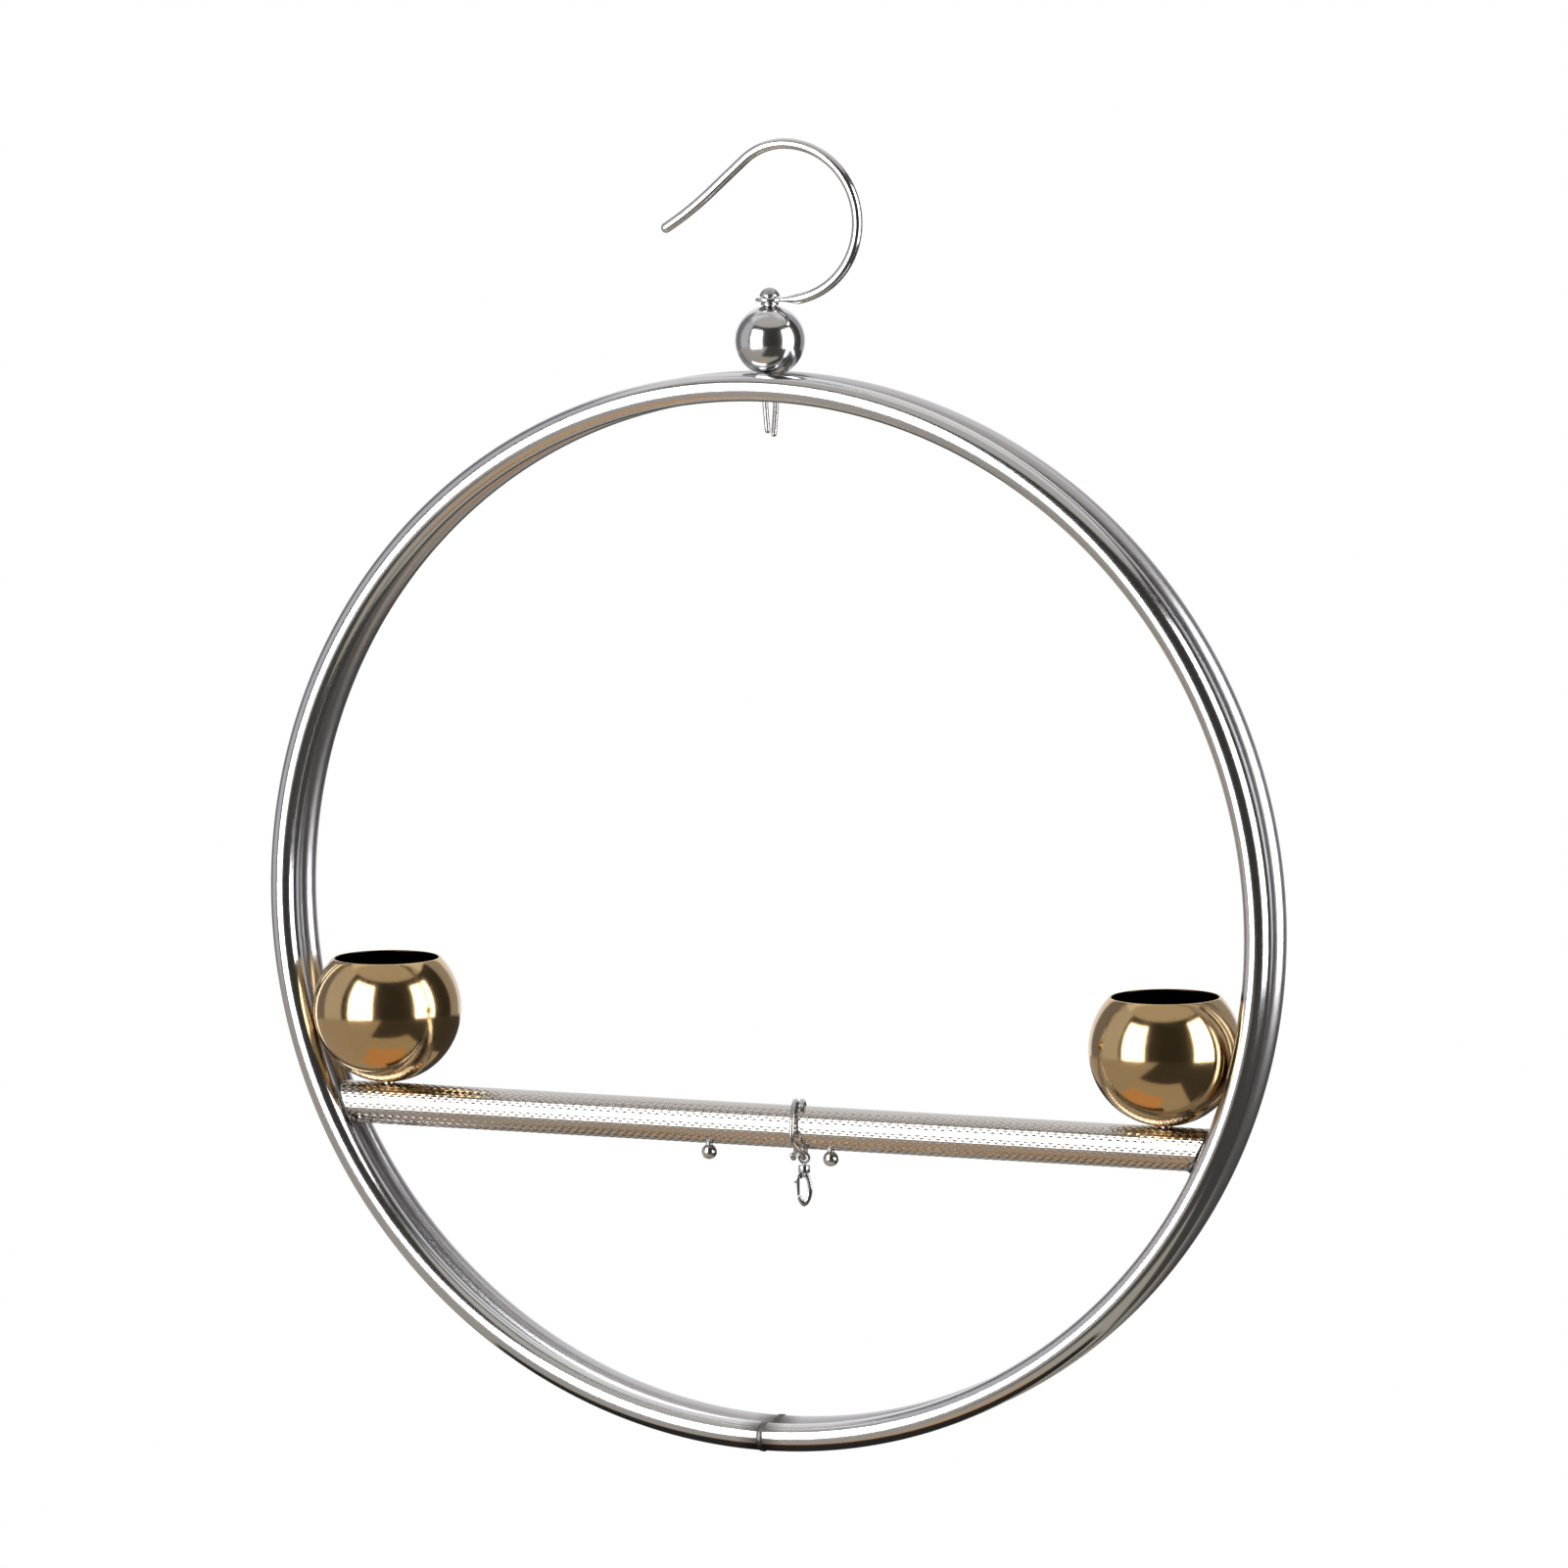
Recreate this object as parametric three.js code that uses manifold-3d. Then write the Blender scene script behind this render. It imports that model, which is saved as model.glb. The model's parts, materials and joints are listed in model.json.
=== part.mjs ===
// A hanging ring perch: two parallel tube rings, a perch bar with two seed cups across them, a hook
// that swivels on a split pin, and a sliding leg loop with a small trigger clip.
// Millimetres, +Z up. The origin is the saddle of the hook, where it rests on a rail, straight above
// the pin. +X runs along the perch bar to the right, and +Y runs from the front ring to the rear ring.
import * as THREE from 'three';
import { mergeVertices } from 'three/addons/utils/BufferGeometryUtils.js';
import Module from 'manifold-3d';

const wasm = await Module();
wasm.setup();

// Clearance between pieces that touch or turn on each other
const FIT_GAP = 0.3;

// Hook: one bent rod whose tail is hammered flat and pierced for the pin
const HOOK_ROD = 3.8;
const HOOK_BEND_RADIUS = 27.5;
const HOOK_CROWN_RADIUS = 23.5;
const HOOK_OFFSET = 6.2;
const HOOK_CROWN_TURN = 41.4;
const HOOK_ARM = 17.9;
const HOOK_TIP_LENGTH = 21;
const HOOK_TIP_TURN = 9.8;
const TAIL_DIAMETER = 10.4;
const TAIL_THICKNESS = 1.4;
const TAIL_LENGTH = 10.4;
const TAIL_TAPER_SHARE = 0.9;

// Split pin with a domed head, and the bush that it carries between the hook's tail and the ball
const PIN_HEAD_DIAMETER = 7.4;
const PIN_HEAD_HEIGHT = 3.2;
const PIN_SHANK = 4.4;
const PRONG_DIAMETER = 2.05;
const PRONG_HOLD = 0.85;
const PRONG_LENGTH_LEFT = 16.9;
const PRONG_LENGTH_RIGHT = 18.3;
// How a prong sways out: its drop below the tubes' centres, in tube radii, and its share of the full spread
const PRONG_SWAY = [[-0.75, 0], [-0.35, 0], [0, 0.08], [0.4, 0.38], [0.8, 0.82], [1.1, 1], [1.6, 1]];
const PRONG_MIDDLE_SHARE = 0.8;
const PRONG_END_SHARE = 0.5;
// The share of their distance side by side that the prongs keep at their ends, where they draw together
const PRONG_END_CLOSING = 0.5;
const BUSH_DIAMETER = 6.4;
const BUSH_HEIGHT = 1;

// Hollow ball that rests in the groove between the rings, clamped a little to the right of their top
const BALL_DIAMETER = 25;
const BALL_WALL = 1.2;
const BALL_SHIFT = 3;

// Two bent tubes, butt-welded at the bottom
const RING_RADIUS = 188;
const RING_TUBE = 10;
const RING_WALL = 1;
const RING_GAP = 5;
const RING_JOINT = 0.6;
const RING_BEAD_WIDTH = 4.4;
const RING_BEAD_HEIGHT = 0.8;

// Perch bar: a tube with plugged ends, cut to the curve of the rings and welded to them
const BAR_DROP = 76.4;
const BAR_DIAMETER = 15.4;
const BAR_WALL = 1.2;
const BAR_PLUG = 5;
const BAR_BEAD = 5.6;

// Seed cups: hollow globes cut open at the top, each screwed to an insert in the bar
const CUP_SIDE_GAP = 0.5;
const CUP_DIAMETER = 54;
const CUP_WALL = 0.9;
const CUP_MOUTH_HEIGHT = 18.9;
const SCREW_DIAMETER = 4;
const SCREW_HEAD_DIAMETER = 7.4;
const SCREW_HEAD_HEIGHT = 2.4;
const SCREW_ENGAGEMENT = 7;
const SCREW_FLAT_SHARE = 0.75;
const WASHER_DIAMETER = 10;
const WASHER_THICKNESS = 0.8;
const INSERT_WALL = 0.9;
const INSERT_BULGE = 0.6;
const INSERT_LENGTH = 9;

// Ball-headed stop pins under the bar
const STOP_X = 23.6;
const STOP_HEAD = 5.6;
const STOP_SHANK = 2.4;
const STOP_DEPTH = 4;

// Leg loop: a wire wound nearly twice round the bar, its turns pushed apart at the bottom. It is loose
// on the bar and hangs a little skewed, so its turns stand off the bar's top.
const LOOP_X = 11.3;
const LOOP_SKEW = 17;
const LOOP_WIRE = 1.9;
const LOOP_BORE = 18.4;
const LOOP_STAND_OFF = 0.55;
const LOOP_TOP_PITCH = 2.45;
const LOOP_START = 65;
const LOOP_CROSSING = 310;
const LOOP_CROSSING_TURN = 40;
const LOOP_END = 665;

// Trigger clip that swivels on an eye threaded on the loop's right-hand turn
const EYE_WIRE = 0.9;
const EYE_PLAY = 0.4;
const STEM_DIAMETER = 1.1;
const STEM_HEAD_DIAMETER = 2.3;
const STEM_HEAD_HEIGHT = 0.7;
const BARREL_WALL = 0.65;
const BARREL_END = 0.8;
const CLAW_WIDTH = 5.6;
const CLAW_HEIGHT = 12.4;
const CLAW_SIDE = 1.45;
const CLAW_TOE = 2;
const CLAW_THICKNESS = 3;
const TRIGGER_THICKNESS = 0.9;
const TRIGGER_HUB = 2.3;
const TRIGGER_PIN = 0.7;
const TRIGGER_WIDTH = 1.1;
const TRIGGER_GAP = 6.4;
const TAB_REACH = 0.9;
const TAB_HEIGHT = 1.2;
const SPRING_THICKNESS = 0.3;

// Fineness of the round faces
const RING_STEPS = 48;
const RING_SIDES = 12;
const ROUND = 24;
const SMALL_ROUND = 12;
const WIRE_SIDES = 8;
const LOOP_SIDES = 6;
const LOOP_STEPS_PER_TURN = 24;
const HOOK_STEPS = 44;
const PRONG_STEPS = 18;
const ARC_POINTS = 8;
const GLOBE_POINTS = 5;
const BEAD_POINTS = 4;
const REACH_SAMPLES = 720;

const rad = THREE.MathUtils.degToRad;

// Sizes and heights that follow from the driving dimensions
const tubeRadius = RING_TUBE / 2;
const facetRadius = RING_RADIUS * Math.cos(Math.PI / RING_STEPS);
const ringOffset = (RING_TUBE + RING_GAP) / 2;
const barRadius = BAR_DIAMETER / 2;
const cupRadius = CUP_DIAMETER / 2;
const ballRadius = BALL_DIAMETER / 2;
const pinBore = PIN_SHANK / 2 + FIT_GAP;

const crownZ = -Math.sqrt((HOOK_CROWN_RADIUS - HOOK_ROD / 2) ** 2 - HOOK_OFFSET ** 2);
const bendZ = crownZ - (HOOK_BEND_RADIUS - HOOK_CROWN_RADIUS);
const tailZ = bendZ - HOOK_BEND_RADIUS;
const headZ = tailZ + TAIL_THICKNESS / 2 + FIT_GAP;
const bushZ = tailZ - TAIL_THICKNESS / 2 - FIT_GAP - BUSH_HEIGHT;
const ballZ = bushZ - FIT_GAP - Math.sqrt(ballRadius ** 2 - pinBore ** 2);
const nest = Math.sqrt((ballRadius + tubeRadius + FIT_GAP) ** 2 - ringOffset ** 2);
const ringTopZ = ballZ - nest;
const ringZ = ringTopZ - Math.sqrt(RING_RADIUS ** 2 - BALL_SHIFT ** 2);

const cupZ = barRadius + FIT_GAP + cupRadius;
const cupFloorZ = barRadius + FIT_GAP + CUP_WALL;
const cupStandOff = Math.sqrt((cupRadius + tubeRadius + CUP_SIDE_GAP) ** 2 - ringOffset ** 2);
const cupReach = RING_RADIUS - cupStandOff;
const cupX = Math.sqrt(cupReach ** 2 - (cupZ - BAR_DROP) ** 2);
const innerCup = cupRadius - CUP_WALL;
const washerRise = innerCup - Math.sqrt(innerCup ** 2 - (WASHER_DIAMETER / 2) ** 2);
const washerZ = cupFloorZ + 2 * FIT_GAP + washerRise;
const screwHeadZ = washerZ + WASHER_THICKNESS + FIT_GAP;
const screwBore = SCREW_DIAMETER / 2 + FIT_GAP;
const insertRadius = screwBore + INSERT_WALL;

const loopRadius = (LOOP_BORE + LOOP_WIRE) / 2;
const loopZ = barRadius + LOOP_STAND_OFF + LOOP_WIRE / 2 - loopRadius;

const eyeRadius = (LOOP_WIRE + EYE_WIRE) / 2 + EYE_PLAY;
const eyeReach = eyeRadius + EYE_WIRE / 2;
const loopSpread = eyeReach + LOOP_WIRE / 2 + EYE_PLAY;
const barrelTop = -eyeReach - FIT_GAP;
const chamberTop = barrelTop - BARREL_END;
const stemHeadTop = chamberTop - FIT_GAP;
const stemHeadBottom = stemHeadTop - STEM_HEAD_HEIGHT;
const chamberBottom = stemHeadBottom - FIT_GAP;
const chamberRadius = STEM_HEAD_DIAMETER / 2 + FIT_GAP;
const barrelRadius = chamberRadius + BARREL_WALL;
const barrelBottom = chamberBottom - BARREL_END;
const clawTop = chamberBottom - BARREL_END / 2;
const clawZ = clawTop - CLAW_HEIGHT / 2;

// Solid geometry helpers

function clean(geometry) {
  const bare = geometry.clone();
  bare.deleteAttribute('normal');
  bare.deleteAttribute('uv');
  return mergeVertices(bare);
}

function toSolid(geometry) {
  const merged = clean(geometry);
  const index = merged.index.array;
  const corners = [];
  for (let k = 0; k < index.length; k += 3) {
    const [a, b, c] = [index[k], index[k + 1], index[k + 2]];
    if (a !== b && b !== c && c !== a) corners.push(a, b, c);
  }
  return new wasm.Manifold(new wasm.Mesh({
    numProp: 3,
    vertProperties: new Float32Array(merged.attributes.position.array),
    triVerts: new Uint32Array(corners),
  }));
}

function toGeometry(solid) {
  const mesh = solid.getMesh();
  const geometry = new THREE.BufferGeometry();
  geometry.setAttribute('position', new THREE.BufferAttribute(mesh.vertProperties, 3));
  geometry.setIndex(new THREE.BufferAttribute(mesh.triVerts, 1));
  geometry.computeVertexNormals();
  return geometry;
}

function join(...geometries) {
  return toGeometry(geometries.map(toSolid).reduce((whole, next) => whole.add(next)));
}

function cut(body, ...tools) {
  return toGeometry(tools.map(toSolid).reduce((whole, next) => whole.subtract(next), toSolid(body)));
}

// A round bar along Z from one height to another
function bar(radius, from, to, sides = SMALL_ROUND) {
  const geometry = new THREE.CylinderGeometry(radius, radius, to - from, sides);
  return geometry.rotateX(Math.PI / 2).translate(0, 0, (from + to) / 2);
}

// A turned piece about Z: its half section is a list of radius and height, anticlockwise
function turned(section, sides = ROUND) {
  const points = section.map(([radius, height]) => new THREE.Vector2(radius, height));
  return new THREE.LatheGeometry(points, sides).rotateX(Math.PI / 2);
}

// Points on an arc about (0, height), by angle from the horizontal
function arcPoints(radius, height, from, to, count = ARC_POINTS) {
  return Array.from({ length: count + 1 }, (_, k) => {
    const angle = from + (to - from) * k / count;
    return [radius * Math.cos(angle), height + radius * Math.sin(angle)];
  });
}

// A round rod or, with a bore, a tube swept along a curve
function swept(curve, radius, steps, sides, bore = 0) {
  const section = new THREE.Shape().absarc(0, 0, radius, 0, 2 * Math.PI);
  if (bore > 0) section.holes.push(new THREE.Path().absarc(0, 0, bore, 0, 2 * Math.PI, true));
  return new THREE.ExtrudeGeometry(section, { extrudePath: curve, steps, curveSegments: sides / 2 });
}

// A flat outline in X and Z, given a thickness across Y
function plate(outline, thickness, y = 0, curveSegments = SMALL_ROUND) {
  const settings = { depth: thickness, bevelEnabled: false, curveSegments };
  const geometry = new THREE.ExtrudeGeometry(outline, settings);
  return geometry.rotateX(Math.PI / 2).translate(0, y + thickness / 2, 0);
}

function polygon(points) {
  return new THREE.Shape(points.map(([x, z]) => new THREE.Vector2(x, z)));
}

function block(x0, x1, y0, y1, z0, z1) {
  const geometry = new THREE.BoxGeometry(x1 - x0, y1 - y0, z1 - z0);
  return geometry.translate((x0 + x1) / 2, (y0 + y1) / 2, (z0 + z1) / 2);
}

// Curves that the bent pieces follow

// A rod bent in the XZ plane: each bend is a length and the angle that it turns to the left
class BentRod extends THREE.Curve {
  constructor(x, z, heading, bends) {
    super();
    Object.assign(this, { x, z, heading, bends });
    this.total = bends.reduce((sum, [length]) => sum + length, 0);
  }

  getPoint(t, target = new THREE.Vector3()) {
    let { x, z, heading } = this;
    let left = t * this.total;
    for (const [length, turn] of this.bends) {
      const part = Math.min(left, length);
      const angle = turn * part / length;
      const chord = turn === 0 ? part : 2 * part / angle * Math.sin(angle / 2) || 0;
      x += chord * Math.cos(heading + angle / 2);
      z += chord * Math.sin(heading + angle / 2);
      heading += angle;
      left -= part;
      if (left <= 0) break;
    }
    return target.set(x, 0, z);
  }
}

// An arc in the XZ plane about the origin, by angle from +X
class RingArc extends THREE.Curve {
  constructor(radius, from, to) {
    super();
    Object.assign(this, { radius, from, to });
  }

  getPoint(t, target = new THREE.Vector3()) {
    const angle = this.from + (this.to - this.from) * t;
    return target.set(this.radius * Math.cos(angle), 0, this.radius * Math.sin(angle));
  }
}

// The leg loop's wire: it runs over the top to the rear, round the bottom, crosses at the lower front
// from the right-hand lane to the left-hand lane, and goes round again. Angles are from the front.
class LoopWire extends THREE.Curve {
  getPoint(t, target = new THREE.Vector3()) {
    const turn = LOOP_START + (LOOP_END - LOOP_START) * t;
    const angle = rad(turn);
    const low = (1 - Math.sin(angle)) / 2;
    const pitch = LOOP_TOP_PITCH + (loopSpread - LOOP_TOP_PITCH) * low;
    const across = THREE.MathUtils.smoothstep(turn, LOOP_CROSSING, LOOP_CROSSING + LOOP_CROSSING_TURN);
    return target.set(pitch * (0.5 - across), -loopRadius * Math.cos(angle), loopRadius * Math.sin(angle));
  }
}

// The least gap that a wound wire leaves to itself, measured between points half a turn or more apart
function leastGap(curve, diameter, turns) {
  const count = Math.round(turns * LOOP_STEPS_PER_TURN * 4);
  const points = curve.getSpacedPoints(count);
  const apart = Math.round(count / turns / 2);
  let least = Infinity;
  for (let a = 0; a < points.length; a++) {
    for (let b = a + apart; b < points.length; b++) least = Math.min(least, points[a].distanceTo(points[b]));
  }
  return least - diameter;
}

// Finishes

const POLISHED_STEEL = { color: 0xc9cacc, roughness: 0.16, metalness: 1 };
const DRAWN_STEEL = { color: 0xb9b8b6, roughness: 0.3, metalness: 1 };
const KNURLED_STEEL = { color: 0xb4b0aa, roughness: 0.42, metalness: 1 };
const GILT_STEEL = { color: 0xb59a63, roughness: 0.14, metalness: 1 };
const WELD_STEEL = { color: 0x6f6a66, roughness: 0.5, metalness: 1 };

function add(parent, name, geometry, finish) {
  const mesh = new THREE.Mesh(geometry, new THREE.MeshStandardMaterial(finish));
  mesh.name = name;
  parent.add(mesh);
  return mesh;
}

function group(parent, x, y, z) {
  const child = new THREE.Group();
  child.position.set(x, y, z);
  parent.add(child);
  return child;
}

// Pieces

function hookRod() {
  const start = Math.asin((TAIL_LENGTH - HOOK_OFFSET) / HOOK_BEND_RADIUS);
  const bendTurn = Math.PI - start;
  const joinZ = bendZ - HOOK_BEND_RADIUS * Math.cos(start);
  const curve = new BentRod(TAIL_LENGTH, joinZ, start, [
    [HOOK_BEND_RADIUS * bendTurn, bendTurn],
    [HOOK_CROWN_RADIUS * rad(HOOK_CROWN_TURN), rad(HOOK_CROWN_TURN)],
    [HOOK_ARM, 0],
    [HOOK_TIP_LENGTH, -rad(HOOK_TIP_TURN)],
  ]);
  const rod = swept(curve, HOOK_ROD / 2, HOOK_STEPS, WIRE_SIDES);

  const tip = new THREE.SphereGeometry(HOOK_ROD / 2, WIRE_SIDES, WIRE_SIDES);
  const end = curve.getPoint(1);
  tip.rotateZ(Math.PI / WIRE_SIDES).translate(end.x, end.y, end.z);

  const padRadius = TAIL_DIAMETER / 2;
  const outline = new THREE.Shape();
  const neck = Math.asin(HOOK_ROD / TAIL_DIAMETER);
  outline.moveTo(TAIL_LENGTH, -HOOK_ROD / 2);
  outline.lineTo(TAIL_LENGTH, HOOK_ROD / 2);
  outline.absarc(0, 0, padRadius, neck, 2 * Math.PI - neck);
  outline.holes.push(new THREE.Path().absarc(0, 0, pinBore, 0, 2 * Math.PI, true));
  const pad = new THREE.ExtrudeGeometry(outline, { depth: TAIL_THICKNESS, bevelEnabled: false });
  pad.translate(0, 0, tailZ - TAIL_THICKNESS / 2);

  const wedgeEnd = TAIL_LENGTH + HOOK_ROD / 4;
  const wedgeHalf = TAIL_TAPER_SHARE * HOOK_ROD / 2;
  const wedge = plate(polygon([
    [padRadius, tailZ - TAIL_THICKNESS / 2],
    [wedgeEnd, joinZ - wedgeHalf],
    [wedgeEnd, joinZ + wedgeHalf],
    [padRadius, tailZ + TAIL_THICKNESS / 2],
  ]), 2 * wedgeHalf);
  return join(rod, tip, pad, wedge);
}

// The prongs pass between the rings, bend apart to the front and the rear and catch under them, and
// then draw together towards their ends
function prong(side, length) {
  const x = side * (PRONG_DIAMETER + FIT_GAP) / 2;
  const spread = side * (RING_GAP / 2 - PRONG_DIAMETER / 2 + PRONG_HOLD);
  const sway = PRONG_SWAY.map(([drop, share]) => [drop * tubeRadius, share, 1]);
  const [bendEnd] = sway.at(-1);
  sway.push([(bendEnd + length) / 2, PRONG_MIDDLE_SHARE, (1 + PRONG_END_CLOSING) / 2]);
  sway.push([length, PRONG_END_SHARE, PRONG_END_CLOSING]);
  const points = sway.map(([drop, out, apart]) => new THREE.Vector3(x * apart, spread * out, ringTopZ - drop));
  return swept(new THREE.CatmullRomCurve3(points), PRONG_DIAMETER / 2, PRONG_STEPS, WIRE_SIDES);
}

function splitPin() {
  const headRadius = PIN_HEAD_DIAMETER / 2;
  const dome = (headRadius ** 2 + PIN_HEAD_HEIGHT ** 2) / (2 * PIN_HEAD_HEIGHT);
  const domeZ = headZ + PIN_HEAD_HEIGHT - dome;
  const edge = Math.asin((headZ - domeZ) / dome);
  const shankEnd = ballZ - ballRadius;
  const head = turned([
    [0, shankEnd],
    [PIN_SHANK / 2, shankEnd],
    [PIN_SHANK / 2, headZ],
    ...arcPoints(dome, domeZ, edge, Math.PI / 2).slice(0, -1),
    [0, domeZ + dome],
  ], ROUND);
  return join(head, prong(-1, PRONG_LENGTH_LEFT), prong(1, PRONG_LENGTH_RIGHT));
}

function swivelBush() {
  return turned([
    [pinBore, bushZ],
    [BUSH_DIAMETER / 2, bushZ],
    [BUSH_DIAMETER / 2, bushZ + BUSH_HEIGHT],
    [pinBore, bushZ + BUSH_HEIGHT],
    [pinBore, bushZ],
  ], ROUND);
}

// A globe shell about Z, open at the bottom by one hole and at the top by another
function globe(radius, wall, lowHole, highHole) {
  const skin = (size) => [
    ...arcPoints(size, 0, -Math.acos(lowHole / size), 0, GLOBE_POINTS),
    ...arcPoints(size, 0, 0, Math.acos(highHole / size), GLOBE_POINTS).slice(1),
  ];
  const outside = skin(radius);
  return turned([...outside, ...skin(radius - wall).reverse(), outside[0]], ROUND);
}

function ringTube() {
  const half = RING_JOINT / 2 / RING_RADIUS;
  const arc = new RingArc(RING_RADIUS, -Math.PI / 2 + half, 1.5 * Math.PI - half);
  return swept(arc, tubeRadius, RING_STEPS, RING_SIDES, tubeRadius - RING_WALL);
}

// The bead round a ring's butt joint, about X
function ringBead() {
  const inner = tubeRadius + 2 * FIT_GAP;
  const half = RING_BEAD_WIDTH / 2;
  const crown = Array.from({ length: BEAD_POINTS + 1 }, (_, k) => {
    const angle = Math.PI * (k / BEAD_POINTS - 0.5);
    return [inner + RING_BEAD_HEIGHT * (1 + Math.cos(angle)) / 2, half * Math.sin(angle)];
  });
  return turned([[inner, -half], ...crown, [inner, half], [inner, -half]], ROUND).rotateY(Math.PI / 2);
}

// Where the rim of the bar, running outwards, first meets the inner side of a ring tube
function barContact() {
  let contact = { x: Infinity, y: 0, z: 0 };
  for (let k = 0; k < REACH_SAMPLES; k++) {
    const angle = 2 * Math.PI * k / REACH_SAMPLES;
    const y = barRadius * Math.cos(angle);
    const z = -BAR_DROP + barRadius * Math.sin(angle);
    const across = Math.abs(y) - ringOffset;
    if (Math.abs(across) >= tubeRadius) continue;
    const inner = facetRadius - Math.sqrt(tubeRadius ** 2 - across ** 2);
    const x = Math.sqrt(inner ** 2 - z ** 2);
    if (x < contact.x) contact = { x, y: Math.abs(y), z: z + BAR_DROP };
  }
  return contact;
}

const contact = barContact();

// What lies within the inner side of the rings
function withinRings(geometry) {
  const reach = facetRadius - tubeRadius - FIT_GAP;
  const inside = bar(reach, -BAR_DIAMETER, BAR_DIAMETER, RING_STEPS).rotateX(Math.PI / 2);
  return toGeometry(toSolid(geometry).intersect(toSolid(inside.translate(0, 0, BAR_DROP))));
}

function perchBar() {
  const section = new THREE.Shape().absarc(0, 0, barRadius, 0, 2 * Math.PI);
  section.holes.push(new THREE.Path().absarc(0, 0, barRadius - BAR_WALL, 0, 2 * Math.PI, true));
  const settings = { depth: 2 * RING_RADIUS, bevelEnabled: false, curveSegments: ROUND / 2 };
  const tube = new THREE.ExtrudeGeometry(section, settings);
  tube.translate(0, 0, -RING_RADIUS).rotateY(Math.PI / 2);
  const drills = [-1, 1].flatMap((side) => [
    bar(insertRadius + FIT_GAP, 0, barRadius + FIT_GAP).translate(side * cupX, 0, 0),
    bar(STOP_SHANK / 2 + FIT_GAP, -barRadius - FIT_GAP, 0).translate(side * STOP_X, 0, 0),
  ]);
  return withinRings(cut(tube, ...drills));
}

function barCap(side) {
  const plug = bar(barRadius - BAR_WALL - FIT_GAP, contact.x - BAR_PLUG, RING_RADIUS, ROUND);
  return withinRings(plug.rotateY(side * Math.PI / 2));
}

// A weld bead in the corner between the bar's end and a ring tube
function barBead(side, depth) {
  const bead = new THREE.SphereGeometry(BAR_BEAD / 2, SMALL_ROUND, SMALL_ROUND / 2);
  bead.translate(side * (contact.x - FIT_GAP / 2), depth * contact.y, contact.z);
  const middle = Math.atan2(contact.z - BAR_DROP, contact.x);
  const half = BAR_BEAD / RING_RADIUS;
  const near = swept(new RingArc(facetRadius, middle - half, middle + half), tubeRadius + FIT_GAP, 2, ROUND);
  if (side < 0) near.rotateZ(Math.PI);
  near.translate(0, depth * ringOffset, BAR_DROP);
  const end = bar(barRadius + FIT_GAP, 0, RING_RADIUS, ROUND).rotateY(side * Math.PI / 2);
  const pieces = toSolid(bead).subtract(toSolid(near)).subtract(toSolid(end)).decompose();
  return toGeometry(pieces.reduce((most, next) => (next.volume() > most.volume() ? next : most)));
}

function cupWasher() {
  return turned([
    [screwBore, washerZ],
    [WASHER_DIAMETER / 2, washerZ],
    [WASHER_DIAMETER / 2, washerZ + WASHER_THICKNESS],
    [screwBore, washerZ + WASHER_THICKNESS],
    [screwBore, washerZ],
  ]);
}

function cupScrew() {
  const head = SCREW_HEAD_DIAMETER / 2;
  const top = screwHeadZ + SCREW_HEAD_HEIGHT;
  return turned([
    [0, barRadius - SCREW_ENGAGEMENT],
    [SCREW_DIAMETER / 2, barRadius - SCREW_ENGAGEMENT],
    [SCREW_DIAMETER / 2, screwHeadZ],
    [head, screwHeadZ],
    [head, top - SCREW_HEAD_HEIGHT / 3],
    [head * SCREW_FLAT_SHARE, top],
    [0, top],
  ], SMALL_ROUND);
}

function cupInsert() {
  const bulge = insertRadius + INSERT_BULGE;
  const wallZ = Math.sqrt((barRadius - BAR_WALL) ** 2 - bulge ** 2) - FIT_GAP;
  const top = Math.sqrt(barRadius ** 2 - (insertRadius + FIT_GAP) ** 2) - FIT_GAP;
  return turned([
    [screwBore, barRadius - INSERT_LENGTH],
    [insertRadius, barRadius - INSERT_LENGTH],
    [insertRadius, wallZ - 2 * INSERT_BULGE],
    [bulge, wallZ - INSERT_BULGE],
    [insertRadius, wallZ],
    [insertRadius, top],
    [screwBore, top],
    [screwBore, barRadius - INSERT_LENGTH],
  ], SMALL_ROUND);
}

function stopPin() {
  const head = STOP_HEAD / 2;
  const shank = STOP_SHANK / 2;
  const headZ0 = -barRadius - FIT_GAP - head;
  const neck = Math.acos(shank / head);
  return turned([
    [0, headZ0 - head],
    ...arcPoints(head, headZ0, -Math.PI / 2, neck).slice(1),
    [shank, -barRadius + STOP_DEPTH],
    [0, -barRadius + STOP_DEPTH],
  ], SMALL_ROUND);
}

function clipEye() {
  const eye = new THREE.TorusGeometry(eyeRadius, EYE_WIRE / 2, LOOP_SIDES, ROUND).rotateX(Math.PI / 2);
  const stem = bar(STEM_DIAMETER / 2, stemHeadBottom, -eyeRadius);
  const head = bar(STEM_HEAD_DIAMETER / 2, stemHeadBottom, stemHeadTop);
  return join(eye, stem, head);
}

const clawHalf = CLAW_WIDTH / 2;
const pivotX = -clawHalf + TRIGGER_HUB / 2 + FIT_GAP;
const pivotZ = barrelBottom - TRIGGER_HUB / 2;
const gateTop = pivotZ - TRIGGER_HUB / 4;
const gateBottom = gateTop - TRIGGER_GAP;
const slotHalf = TRIGGER_THICKNESS / 2 + FIT_GAP;
const hubRadius = TRIGGER_HUB / 2;
const pinHole = TRIGGER_PIN / 2 + FIT_GAP;

// A round bar through the trigger's pivot, across Y
function pivotBar(radius, half) {
  return bar(radius, -half, half).rotateX(Math.PI / 2).translate(pivotX, 0, pivotZ);
}

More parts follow.
